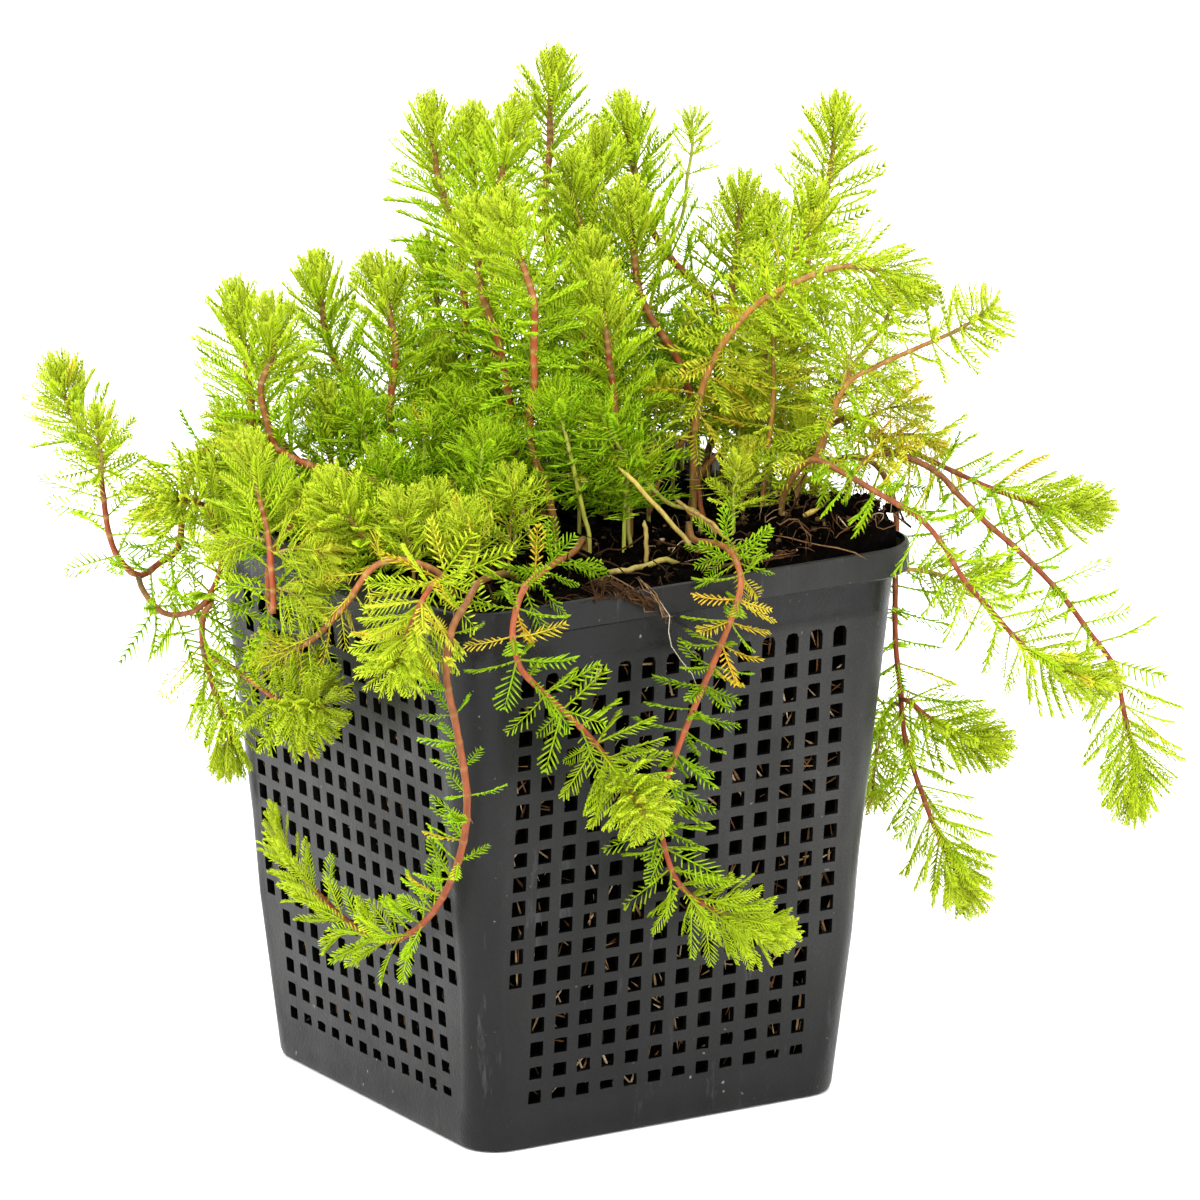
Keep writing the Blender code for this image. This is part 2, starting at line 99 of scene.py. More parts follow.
# Soil, as in the solids, and what lies on it.
SOIL_LEVEL = 113.5
SOIL_MOUND = (44.0, -42.0, 16.0, 9.0)     # middle, spread and rise
SOIL_HALF = RIM_HALF - WALL - 1.0
SOIL_CELLS = 76
LUMP_WAVES = 0.16                         # to the millimetre
LUMP_RISE = 1.8
EDGE_DROP = 1.6
ROOT_LIMIT = SOIL_HALF - 0.6
THREAD_SIDES = 4
STRAWS = 1350
ROOT_THREADS = 320
ROOT_LOOPS = 190
# Crumbs: how many, share on the mound, least size, spread of size and material slot.
PEAT_CRUMBS = (1300, 0.4, 0.25, 0.42, 0)
BARK_CRUMBS = (900, 0.7, 0.14, 0.16, 1)
STUB_POINTS = 12
STUB_SIDES = 7

# Stems and leaves.
STEM_SIDES = 8
SPRIG_SIDES = 5
STEM_RADII = ((0, 2.5, 20, 90), (0.25, 0.52, 0.69, 0.86))  # at distances below the tip
NODE_REACH = 0.6                          # how far from a whorl its stem is swollen
NODE_SWELL = 0.16
ROOTED_DEPTH = 3.0                        # how far a rooted stem goes down into the soil
ROOTED_RISE = 4.6                         # how far it first rises straight up
ROUTE_SAMPLES = 16
FRAME_STEP = 0.5                          # step of the evenly resampled route
DARKENED = 44.0                           # distance below the tip where leaves are darkest
USUAL_LEAF = 12.0                         # leaf length for which bars have their own width
LEAF_ROOT = 0.45                          # from the stem's middle line
LEAF_TRIES = 9                            # ways a leaf may be turned to clear the basket
LEAF_PROBES = np.array([0.35, 0.6, 0.85, 1.0])
POT_CLEARANCE = 0.8
FLUFFY_BARE, SPRIG_BARE, SIDE_SPRIG_BARE = 0.48, 0.30, 0.05  # bare share of a sprig's foot

# The clump's own layout: (across, height, near), turned to the basket as in the solids.
LAYOUT_TURN = math.radians(-31.1)
ACROSS = np.array([math.cos(LAYOUT_TURN), math.sin(LAYOUT_TURN), 0.0])
NEAR = np.array([math.sin(LAYOUT_TURN), -math.cos(LAYOUT_TURN), 0.0])
UP = np.array([0.0, 0.0, 1.0])

rng = np.random.default_rng(7)


# Meshes and materials


def mesh_piece(name, verts, faces, materials, slots=None, data=None):
    """A mesh object from arrays.  faces is a list of integer arrays, each of one corner count."""
    mesh = bpy.data.meshes.new(name)
    mesh.vertices.add(len(verts))
    mesh.vertices.foreach_set("co", (np.asarray(verts, dtype=np.float32) * MM).ravel())
    corners = np.concatenate([block.ravel() for block in faces])
    sizes = np.concatenate([np.full(len(block), block.shape[1]) for block in faces])
    starts = np.concatenate(([0], np.cumsum(sizes)[:-1]))
    mesh.loops.add(len(corners))
    mesh.loops.foreach_set("vertex_index", corners.astype(np.int32))
    mesh.polygons.add(len(sizes))
    mesh.polygons.foreach_set("loop_start", starts.astype(np.int32))
    mesh.polygons.foreach_set("use_smooth", np.ones(len(sizes), dtype=bool))
    for material in materials:
        mesh.materials.append(material)
    if data is not None:
        mesh.polygons.foreach_set("material_index", slots.astype(np.int32))
        layer = mesh.attributes.new("growth", "FLOAT_COLOR", "POINT")
        layer.data.foreach_set("color", data.astype(np.float32).ravel())
    mesh.update(calc_edges=True)
    mesh.validate()
    piece = bpy.data.objects.new(name, mesh)
    bpy.context.scene.collection.objects.link(piece)
    return piece


def joined_piece(name, parts, materials):
    """One piece from many parts, each of points, face blocks, growth values and a slot."""
    start, faces, slots = 0, [], []
    for verts, blocks, _, slot in parts:
        for block in blocks:
            faces.append(block + start)
            slots.append(np.full(len(block), slot))
        start += len(verts)
    verts = np.vstack([part[0] for part in parts])
    data = np.vstack([part[2] for part in parts])
    return mesh_piece(name, verts, faces, materials, np.concatenate(slots), data)


def dress(piece, slot, *nodes):
    """What every piece of the plant needs from the frame."""
    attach(piece, "root")
    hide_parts(*nodes)


def ring_quads(grid):
    """Quads between the rows of a grid of point numbers whose rows are closed rings."""
    beside = np.roll(grid, -1, axis=1)
    return np.stack([grid[:-1], beside[:-1], beside[1:], grid[1:]], axis=-1)


class Nodes:
    """A material, with short names for the few shader nodes used here."""

    def __init__(self, name):
        self.material = bpy.data.materials.new(name)
        self.material.use_nodes = True
        self.tree = self.material.node_tree
        self.shader = self.tree.nodes["Principled BSDF"]
        self.place = self.add("ShaderNodeTexCoord").outputs["Object"]

    def add(self, kind, inputs=None, **settings):
        """A new node; each of its inputs is a value or another node's output."""
        node = self.tree.nodes.new(kind)
        for key, value in settings.items():
            setattr(node, key, value)
        for key, value in (inputs or {}).items():
            self.put(value, node.inputs[key])
        return node

    def put(self, value, socket):
        """Links or sets an input."""
        if isinstance(value, bpy.types.NodeSocket):
            self.tree.links.new(value, socket)
        else:
            socket.default_value = (*value, 1.0) if socket.type == "RGBA" else value

    def set(self, **values):
        """Inputs of the main shader."""
        for key, value in values.items():
            self.put(value, self.shader.inputs[key.replace("_", " ")])

    def noise(self, scale, detail=3.0, rough=0.55, upright=None):
        """Noise at so many waves to the metre, with so small a share of them upward."""
        place = self.place
        if upright:
            stretch = {"Vector": place, "Scale": (1.0, 1.0, upright)}
            place = self.add("ShaderNodeMapping", stretch).outputs["Vector"]
        return self.add("ShaderNodeTexNoise", {"Vector": place, "Scale": scale, "Detail": detail,
                                               "Roughness": rough}).outputs["Fac"]

    def ramp(self, value, *stops):
        """A colour chosen by a value; each stop is a position and a colour."""
        node = self.add("ShaderNodeValToRGB", {"Fac": value})
        elements = node.color_ramp.elements
        while len(elements) < len(stops):
            elements.new(0.5)
        for element, (position, *colour) in zip(elements, stops):
            element.position = position
            element.color = (*colour, 1.0)
        return node.outputs["Color"]

    def steps(self, value, low, high, out_low=0.0, out_high=1.0):
        """A value mapped from one range to another and held inside it."""
        return self.add("ShaderNodeMapRange", {
            "Value": value, "From Min": low, "From Max": high,
            "To Min": out_low, "To Max": out_high}).outputs["Result"]

    def mix(self, share, first, second, blend="MIX"):
        """Mix of two colours."""
        return self.add("ShaderNodeMix", {0: share, 6: first, 7: second},
                        data_type="RGBA", blend_type=blend).outputs[2]

    def times(self, first, second, operation="MULTIPLY"):
        return self.add("ShaderNodeMath", {0: first, 1: second}, operation=operation).outputs[0]

    def shade(self, colour, value):
        """A colour made darker or lighter by a value."""
        grey = self.add("ShaderNodeCombineColor", {0: value, 1: value, 2: value})
        return self.mix(1.0, colour, grey.outputs["Color"], "MULTIPLY")

    def growth(self):
        """The four growth values that a shoot's points carry."""
        node = self.add("ShaderNodeAttribute", attribute_name="growth")
        parts = self.add("ShaderNodeSeparateColor", {"Color": node.outputs["Color"]})
        return (*parts.outputs, node.outputs["Alpha"])

    def bump(self, height, strength, distance):
        return self.add("ShaderNodeBump", {"Height": height, "Strength": strength,
                                           "Distance": distance}).outputs["Normal"]


def leaf_material():
    """Feathery leaf: lime when young, deeper green with age, straw yellow where it wilts."""
    m = Nodes("feather_leaf")
    age, wilt, tone, along = m.growth()
    green = m.ramp(age, (0.0, 0.765, 0.875, 0.055), (0.25, 0.71, 0.86, 0.036),
                   (0.6, 0.59, 0.805, 0.020), (1.0, 0.45, 0.70, 0.016))
    mottle = m.steps(m.noise(220.0), 0.3, 0.7, 0.90, 1.04)
    green = m.shade(green, m.times(mottle, m.steps(tone, -1.0, 1.0, 0.64, 1.04)))
    yellow = m.ramp(tone, (0.0, 0.84, 0.62, 0.05), (0.3, 0.88, 0.76, 0.07),
                    (1.0, 0.82, 0.84, 0.08))
    foot = m.times(m.steps(along, 0.16, 0.0), 0.45)
    body = m.mix(foot, m.mix(wilt, green, yellow), (0.62, 0.48, 0.12))
    m.set(Base_Color=body, Roughness=0.5, Specular_IOR_Level=0.15)
    glow = m.add("ShaderNodeBsdfTranslucent", {"Color": body}).outputs["BSDF"]
    both = m.add("ShaderNodeMixShader", {0: m.steps(age, 0.0, 0.5, 0.50, 0.57),
                                         1: m.shader.outputs["BSDF"], 2: glow})
    m.put(both.outputs["Shader"], m.tree.nodes["Material Output"].inputs["Surface"])
    return m.material


def stem_material():
    """Stem: growth holds age from tip to foot, closeness to a node, redness and tone."""
    m = Nodes("plant_stem")
    age, joint, red, tone = m.growth()
    young = m.ramp(age, (0.0, 0.28, 0.30, 0.02), (0.06, 0.15, 0.04, 0.012),
                   (0.25, 0.24, 0.045, 0.016), (0.6, 0.34, 0.085, 0.028),
                   (0.85, 0.32, 0.13, 0.04), (1.0, 0.20, 0.14, 0.04))
    pink = m.ramp(age, (0.0, 0.26, 0.22, 0.02), (0.12, 0.20, 0.036, 0.010),
                  (0.4, 0.24, 0.052, 0.018), (0.65, 0.22, 0.066, 0.021),
                  (0.86, 0.18, 0.078, 0.022), (1.0, 0.10, 0.08, 0.018))
    olive = m.ramp(age, (0.0, 0.30, 0.36, 0.05), (0.5, 0.42, 0.42, 0.06), (1.0, 0.26, 0.20, 0.07))
    base = m.mix(m.steps(red, 0.0, 0.5), olive, young)
    base = m.mix(m.steps(red, 0.5, 1.0), base, pink)
    streaks = m.steps(m.noise(900.0, 2.0, upright=0.25), 0.35, 0.65, 0.75, 1.2)
    base = m.shade(base, m.times(streaks, m.steps(tone, 0.0, 1.0, 0.85, 1.15)))
    ring = m.times(m.steps(joint, 0.25, 0.9, 0.0, 0.7), m.steps(red, 0.5, 1.0, 1.0, 0.4))
    m.set(Base_Color=m.mix(ring, base, (0.34, 0.25, 0.08)), Roughness=0.42,
          Specular_IOR_Level=0.2, Normal=m.bump(m.noise(2500.0, 2.0), 0.25, 0.0002))
    return m.material


def plastic_material(name, strength):
    """Dusty black polypropylene with fine scuffs, pale specks and a film that is partly painted sheen;
    strength scales its tone, and the low strength of the hole sides' copy is painted shade.
    """
    m = Nodes(name)
    black = [strength * c for c in (0.0016, 0.0016, 0.0016)]
    dark = [strength * c for c in (0.0060, 0.0060, 0.0062)]
    body = m.ramp(m.noise(70.0, 5.0, 0.65, upright=0.3), (0.3, *black), (0.7, *dark))
    # A pale film, partly dust and partly painted sheen: thickest half way up the sides and away from the
    # near corner, thin toward the foot and that corner, and thinner on the flutes.
    x, y, z = m.add("ShaderNodeSeparateXYZ", {"Vector": m.place}).outputs
    dust_and_sheen_film = m.times(m.steps(m.times(x, y, "ADD"), -0.094, -0.015), m.steps(z, 0.008, 0.062))
    dust_and_sheen_film = m.times(dust_and_sheen_film, m.steps(z, 0.075, 0.110, 1.0, 0.6))
    flutes = m.times(m.steps(z, 0.1015, 0.1035), m.steps(z, 0.1095, 0.1105, 1.0, 0.0))
    dust_and_sheen_film = m.times(dust_and_sheen_film, m.steps(flutes, 0.0, 1.0, 1.0, 0.2))
    dust_and_sheen_film = m.times(dust_and_sheen_film, m.steps(m.noise(45.0, 5.0, 0.6, upright=0.4), 0.35, 0.65, 0.5, 1.5))
    body = m.mix(m.times(dust_and_sheen_film, 0.055 * strength), body, (0.30, 0.29, 0.27))
    dust = m.times(m.steps(m.noise(700.0, 1.0), 0.74, 0.79), m.steps(m.noise(60.0, 2.0), 0.5, 0.62))
    body = m.mix(m.times(dust, 0.5 * strength), body, (0.30, 0.28, 0.26))
    scuff = m.steps(m.noise(240.0, 5.0, 0.7, upright=0.12), 0.62, 0.72, 0.0, 0.22 * strength)
    body = m.mix(scuff, body, (0.11, 0.11, 0.115))
    grain = m.steps(m.noise(2600.0, 2.0, 0.7), 0.3, 0.7, 0.72, 1.30)
    rough = m.steps(m.noise(120.0, 4.0), 0.3, 0.7, 0.30, 0.46)
    m.set(Base_Color=m.shade(body, grain), Specular_IOR_Level=0.20 * strength,
          Roughness=m.times(rough, m.steps(flutes, 0.0, 1.0, 1.0, 0.5)),
          Normal=m.bump(m.noise(1400.0, 4.0, 0.65), 0.5, 0.0002))
    return m.material


def peat_material():
    """Damp dark peat with paler crumbs."""
    m = Nodes("peat")
    body = m.ramp(m.noise(650.0, 5.0, 0.7), (0.38, 0.0005, 0.0003, 0.0002),
                  (0.58, 0.002, 0.0011, 0.0006), (0.70, 0.008, 0.004, 0.002),
                  (0.85, 0.04, 0.02, 0.009))
    m.set(Base_Color=body, Roughness=m.steps(m.noise(300.0), 0.35, 0.65, 0.55, 0.95),
          Specular_IOR_Level=0.02, Normal=m.bump(m.noise(1300.0, 6.0, 0.75), 0.9, 0.0012))
    return m.material


def fibre_material():
    """Straw, bark and root threads; growth's third value chooses the colour."""
    m = Nodes("peat_fibre")
    body = m.ramp(m.growth()[2], (0.0, 0.012, 0.007, 0.004), (0.35, 0.045, 0.022, 0.009),
                  (0.6, 0.13, 0.065, 0.026), (0.8, 0.30, 0.19, 0.09), (0.93, 0.45, 0.35, 0.22),
                  (1.0, 0.60, 0.54, 0.44))
    streak = m.steps(m.noise(1500.0), 0.35, 0.65, 0.7, 1.15)
    m.set(Base_Color=m.shade(body, streak), Roughness=0.8, Specular_IOR_Level=0.04)
    return m.material


# Camera, floor and light


def build_stage():
    scene = bpy.context.scene
    flat = math.cos(CAMERA_ELEVATION)
    back = np.array([math.sin(CAMERA_AZIMUTH) * flat, -math.cos(CAMERA_AZIMUTH) * flat,
                     math.sin(CAMERA_ELEVATION)])
    right = np.array([math.cos(CAMERA_AZIMUTH), math.sin(CAMERA_AZIMUTH), 0.0])
    up = np.cross(back, right)
    spot = CAMERA_AIM + back * CAMERA_DISTANCE + right * CAMERA_ASIDE + up * CAMERA_LIFT
    lens = bpy.data.cameras.new("camera")
    lens.sensor_width = SENSOR
    lens.lens = SENSOR * FOCAL_PX / IMAGE_PX
    lens.clip_end = 50.0
    scene.camera = bpy.data.objects.new("camera", lens)
    pose = Matrix((right, up, back)).transposed().to_4x4()
    scene.camera.matrix_world = Matrix.Translation(Vector(spot) * MM) @ pose
    scene.collection.objects.link(scene.camera)

    bpy.ops.mesh.primitive_plane_add(size=8.0)
    floor = bpy.context.object
    floor.name = "studio_floor"
    paper = Nodes("studio_paper")
    white = paper.mix(paper.noise(3.0), (0.86, 0.86, 0.86), (0.90, 0.90, 0.90))
    paper.set(Base_Color=white, Roughness=0.85)
    floor.data.materials.append(paper.material)

    scene.world = bpy.data.worlds.new("studio")
    scene.world.use_nodes = True
    sky = scene.world.node_tree.nodes["Background"]
    sky.inputs["Color"].default_value = (1.0, 1.0, 1.0, 1.0)
    sky.inputs["Strength"].default_value = 2.1
    scene.view_settings.view_transform = "Standard"

    for name, place, size, power in LAMPS:
        light = bpy.data.lights.new(name, "AREA")
        light.shape = "DISK"
        light.size = size
        light.energy = power
        lamp = bpy.data.objects.new(name, light)
        lamp.location = place
        lamp.rotation_euler = (LAMP_AIM - Vector(place)).to_track_quat("-Z", "Y").to_euler()
        scene.collection.objects.link(lamp)


# Basket


def body_half(height):
    """Half width of the basket's tapered body at a height."""
    share = (height - BASE_EDGE) / (RIM_FOOT - BASE_EDGE)
    return BODY_HALF_BASE + (BODY_HALF_TOP - BODY_HALF_BASE) * share


def outer_face(height, lip=0.2):
    """How far out the basket's outer surface is at each height."""
    return np.where(height > RIM_FOOT - lip, RIM_HALF, body_half(np.minimum(height, RIM_FOOT)))


def corner_radius(height):
    """Rounding of the body's upright edges, which leaves room for the outer columns."""
    field_edge = (HOLE_COLUMNS - 1) / 2 * HOLE_PITCH_ACROSS + 0.5 * HOLE_WIDTH + 0.8
    first_outer = LOWEST_HOLE + (SHORT_COLUMN_ROWS - 0.5) * HOLE_PITCH_UP
    room = body_half(max(height, first_outer)) - field_edge - 0.3
    share = min(1.0, (height - BASE_EDGE) / (first_outer - BASE_EDGE))
    return CORNER_RADIUS + (min(CORNER_RADIUS, room) - CORNER_RADIUS) * share


def side_stations(straight):
    """Places across one side: every column's edges and middle, then the field's edge."""
    inner = (HOLE_COLUMNS / 2 - 1) * HOLE_PITCH_ACROSS
    field = min(inner + HOLE_PITCH_ACROSS, straight - 0.3)
    half = [*np.arange(0, inner + 0.01, HOLE_PITCH_ACROSS / 2), 0.5 * (inner + field), field,
            straight]
    return [-u for u in half[:0:-1]] + half


def relief(u, height):
    """How far the side is sunk: the field of holes, and a flute rising from every column."""
    field_half = HOLE_COLUMNS / 2 * HOLE_PITCH_ACROSS
    foot = LOWEST_HOLE - 0.62 * HOLE_PITCH_UP
    above = height - FLUTE_FOOT
    if abs(u) > field_half + 0.2 or height < foot or height > RIM_FOOT - 0.5:
        return 0.0
    if above <= 0:
        return FIELD_RECESS
    groove = 0.5 + 0.5 * math.cos(TURN * (u / HOLE_PITCH_ACROSS - 0.5))
    fade = np.interp(above, (0, 1.4, RIM_FOOT - FLUTE_FOOT - 0.9), (0.0, 1.0, 0.45))
    return FIELD_RECESS + FLUTE_DEPTH * groove * fade


def on_side(side, u, out, height):
    """A point at u across one of the four sides, and at out from the basket's middle."""
    turn = math.pi / 2 * side
    return (u * math.cos(turn) + out * math.sin(turn),
            u * math.sin(turn) - out * math.cos(turn), height)


def level_ring(height, half, radius, sunk=False):
    """Points round the basket at one height, side by side and corner by corner."""
    straight = half - radius
    ring = []
    for side in range(4):
        for u in side_stations(straight):
            ring.append(on_side(side, u, half - (relief(u, height) if sunk else 0.0), height))
        for step in range(1, CORNER_STEPS):
            angle = math.pi / 2 * step / CORNER_STEPS
            ring.append(on_side(side, straight + radius * math.sin(angle),
                                straight + radius * math.cos(angle), height))
    return ring


def basket_rings():
    """Rings of points from the base up to the rim's top, and the lowest hole's first ring."""
    base, inset = BODY_HALF_BASE - BASE_EDGE, 1.1
    rings = [level_ring(0.0, base - inset, CORNER_RADIUS - BASE_EDGE - inset),
             level_ring(0.0, base, CORNER_RADIUS - BASE_EDGE),
             level_ring(0.45, BODY_HALF_BASE - 0.45, CORNER_RADIUS - 0.5)]
    levels = [BASE_EDGE, 4.0, LOWEST_HOLE - 0.75 * HOLE_PITCH_UP]
    first_hole = len(rings) + len(levels)
    levels += [LOWEST_HOLE + (k / 2 - 0.5) * HOLE_PITCH_UP for k in range(2 * HOLE_ROWS + 1)]
    levels[-1] += TOP_HOLE_HEIGHT - HOLE_HEIGHT
    levels += [levels[-1] + rise for rise in FLUTE_STEPS] + [RIM_FOOT - 0.9, RIM_FOOT - 0.3]
    rings += [level_ring(z, body_half(z), corner_radius(z), True) for z in levels]
    step = RIM_HALF - BODY_HALF_TOP
    for rise, out, grow in ((0.0, -0.3, 0.0), (0.0, 0.7, 0.5), (0.05, step - 0.5, step),
                            (0.5, step, step), (RIM_BAND - 0.8, step, step),
                            (RIM_BAND - 0.2, step - 0.2, step),
                            (RIM_BAND, step - 0.8, step - 0.6)):
        rings.append(level_ring(RIM_FOOT + rise, BODY_HALF_TOP + out, CORNER_RADIUS + grow))
    return rings, first_hole


def hole_edge(column, row, draw):
    """A hole's eight points, across and up: arched at the top, crooked in the lowest rows."""
    squash = 1.0 - 0.45 * max(0.0, 1 - row / CROOKED_ROWS) * draw.uniform(0.3, 1.0)
    width = 0.5 * HOLE_WIDTH * (0.93 + 0.07 * squash) * draw.uniform(0.96, 1.03)
    height = 0.5 * HOLE_HEIGHT * squash * draw.uniform(0.96, 1.03)
    u = (column - (HOLE_COLUMNS - 1) / 2) * HOLE_PITCH_ACROSS
    z = LOWEST_HOLE + row * HOLE_PITCH_UP
    arch, shoulder = 0.97, 0.0
    if row == HOLE_ROWS - 1:
        height = 0.5 * TOP_HOLE_HEIGHT
        z += 0.5 * (TOP_HOLE_HEIGHT - HOLE_HEIGHT)
        arch, shoulder = 0.70, 0.45
    brow = 0.96 * arch ** 0.15
    for across, rise in ((-1, -1), (0, -1), (1, -1), (1, shoulder), (arch, brow), (0, 1),
                         (-arch, brow), (-1, shoulder)):
        jitter = (1 - squash) * draw.uniform(-0.35, 0.35)
        yield u + across * width * (1 + jitter), z + rise * height * (1 - jitter)


def build_basket():
    """The wall as a grid of cells round the basket, with a ring of points in each hole."""
    rings, first_hole = basket_rings()
    verts = [point for ring in rings for point in ring]
    grid = np.arange(len(verts)).reshape(len(rings), -1)
    cells = ring_quads(grid)
    whole = np.ones(cells.shape[:2], dtype=bool)
    side_span = grid.shape[1] // 4
    first_column = (side_span - CORNER_STEPS + 1) // 2 - HOLE_COLUMNS
    hole_cells = []
    draw = np.random.default_rng(3)
    for side, row, column in np.ndindex(4, HOLE_ROWS, HOLE_COLUMNS):
        if row < SHORT_COLUMN_ROWS and column in (0, HOLE_COLUMNS - 1):
            continue
        level = first_hole + 2 * row
        place = side * side_span + first_column + 2 * column
        whole[level:level + 2, place:place + 2] = False
        outer = [grid[level + up, place + along] for along, up in ROUND_A_HOLE]
        inner = len(verts) + np.arange(len(outer))
        verts += [on_side(side, u, body_half(z) - relief(u, z), z)
                  for u, z in hole_edge(column, row, draw)]
        hole_cells.append(ring_quads(np.array([outer, inner]))[0])
    # The second material, the plastic at a quarter of its tone, is painted shade for the holes' sides and
    # the wall's cut edges.
    basket = mesh_piece("basket_shell", verts,
                        [np.concatenate([cells[whole], *hole_cells]), grid[:1, ::-1]],
                        [plastic_material("basket_plastic", 1.0),
                         plastic_material("hole_edge", 0.25)])
    shell = basket.modifiers.new("wall", "SOLIDIFY")
    shell.thickness = WALL * MM
    shell.offset = -1.0
    shell.use_even_offset = True
    # The rim faces of the wall, the holes' sides among them, take the darker copy as painted shade.
    shell.material_offset_rim = 1
    mesh = basket.data
    mesh.set_sharp_from_angle(angle=SHARP_ANGLE)
    # The holes' own edges are sharp too, so that their sides don't shade into the face.
    edge_of_corner = np.empty(len(mesh.loops), dtype=np.int32)
    mesh.loops.foreach_get("edge_index", edge_of_corner)
    sharp = np.empty(len(mesh.edges), dtype=bool)
    mesh.edges.foreach_get("use_edge_sharp", sharp)
    sharp |= np.bincount(edge_of_corner, minlength=len(sharp)) == 1
    mesh.edges.foreach_set("use_edge_sharp", sharp)
    dress(basket, "basket_plastic", "basket")


# Soil


def soil_height(x, y):
    middle_x, middle_y, spread, rise = SOIL_MOUND
    distance_squared = (x - middle_x) ** 2 + (y - middle_y) ** 2
    mound = rise * np.exp(-distance_squared / (2 * spread ** 2))
    return SOIL_LEVEL + mound + 0.6 * np.sin(0.21 * x + 1.3) * np.cos(0.17 * y - 0.4)


def in_frame(across, height, near):
    """A place of the clump's layout, in the solids' frame."""
    return across * ACROSS + near * NEAR + height * UP


def at_places(values, even, places):
    """Rows of an even table at distances along it."""
    return np.column_stack([np.interp(places, even, values[:, k]) for k in range(3)])


def evenly(route, count=None):
    """Even points along a route, so many or one to each frame step, and their distances."""
    route = np.asarray(route, dtype=float)
    travelled = np.concatenate(([0], np.cumsum(np.linalg.norm(np.diff(route, axis=0), axis=1))))
    count = count or max(8, round(travelled[-1] / FRAME_STEP)) + 1
    even = np.linspace(0, travelled[-1], count)
    return at_places(route, travelled, even), even


def tube_points(middles, side, up, radii, corners):
    """A ring of points round every middle; side and up span its plane."""
    angles = np.arange(corners) * TURN / corners
    ring = (np.cos(angles)[:, None] * side[..., None, :]
            + np.sin(angles)[:, None] * up[..., None, :])
    return (middles[..., None, :] + ring * radii[..., None, None]).reshape(-1, 3)


def tubes(threads, corners):
    """Closed thin tubes along many paths at once; a thread is a path, a radius and a tone."""
    paths, radii, tones = (np.array(values) for values in zip(*threads))
    count, points, _ = paths.shape
    tangent = np.gradient(paths, axis=1)
    tangent /= np.linalg.norm(tangent, axis=2, keepdims=True) + 1e-9
    helper = np.where(np.abs(tangent[..., 2:3]) > 0.8, [1.0, 0.0, 0.0], [0.0, 0.0, 1.0])
    side = np.cross(tangent, helper)
    side /= np.linalg.norm(side, axis=2, keepdims=True) + 1e-9
    taper = np.ones(points)
    taper[0] = taper[-1] = 0.25
    verts = tube_points(paths, side, np.cross(side, tangent), radii[:, None] * taper, corners)
    grid = np.arange(points * corners).reshape(points, corners)
    offsets = np.arange(count)[:, None, None] * grid.size
    faces = (ring_quads(grid).reshape(1, -1, 4) + offsets).reshape(-1, 4)
    caps = (np.array([grid[0, ::-1], grid[-1]]) + offsets).reshape(-1, corners)
    data = np.zeros((len(verts), 4))
    data[:, 2] = np.repeat(tones, grid.size)
    return verts, [faces, caps], data


def peat():
    """The peat: a lumpy top whose edge goes down behind the holes to the basket's floor."""
    line = np.linspace(-1, 1, SOIL_CELLS + 1)
    grid_x, grid_y = np.meshgrid(line, line, indexing="ij")
    # Rounds the square's corners so that the grid keeps inside the basket's.
    pull = 1 - 0.055 * (np.abs(grid_x) * np.abs(grid_y)) ** 4
    x, y = grid_x * SOIL_HALF * pull, grid_y * SOIL_HALF * pull
    lumps = [noise.fractal(Vector((a * LUMP_WAVES, b * LUMP_WAVES, 0.0)), 0.75, 2.1, 5)
             for a, b in zip(x.ravel(), y.ravel())]
    edge = np.maximum(np.abs(grid_x), np.abs(grid_y))
    z = soil_height(x, y) + LUMP_RISE * np.reshape(lumps, x.shape)
    z -= EDGE_DROP * np.clip((edge - 0.93) / 0.07, 0, 1)
    verts = np.stack([x, y, z], axis=-1).reshape(-1, 3)
    index = np.arange(len(verts)).reshape(x.shape)
    top = np.stack([index[:-1, :-1], index[1:, :-1], index[1:, 1:], index[:-1, 1:]], axis=-1)
    rim = np.concatenate([index[:, 0], index[-1, 1:], index[-2::-1, -1], index[0, -2:0:-1]])
    outline = verts[rim]
    beside = np.abs(outline[:, :2])
    corner = np.clip((beside.min(axis=1) / beside.max(axis=1) - 0.72) / 0.15, 0, 1)
    rings = [rim]
    step_top = RIM_FOOT + WALL + 0.5
    for height, gap in ((step_top, -2.5), (step_top - 0.1, 0.6), (RIM_FOOT - 2, 1.6),
                        (70.0, 2.2), (35.0, 2.2), (WALL + 0.4, 2.2)):
        gaps = gap - np.clip(gap - 0.45, 0, None) * corner
        share = (body_half(min(height, RIM_FOOT)) - WALL - gaps) / SOIL_HALF
        ring = outline * np.column_stack([share, share, np.ones(len(rim))])
        wobble = np.array([0.5 * noise.noise(Vector(point) * 0.15) for point in ring])
        ring *= 1 - np.abs(wobble)[:, None] * 0.01
        ring[:, 2] = height
        rings.append(len(verts) + np.arange(len(rim)))
        verts = np.vstack([verts, ring])
    walls = [np.stack([above, below, np.roll(below, -1), np.roll(above, -1)], axis=-1)
             for above, below in zip(rings, rings[1:])]
    faces = np.concatenate([top.reshape(-1, 4), *walls])
    return verts, [faces, rings[-1][None, ::-1]], np.zeros((len(verts), 4)), 0


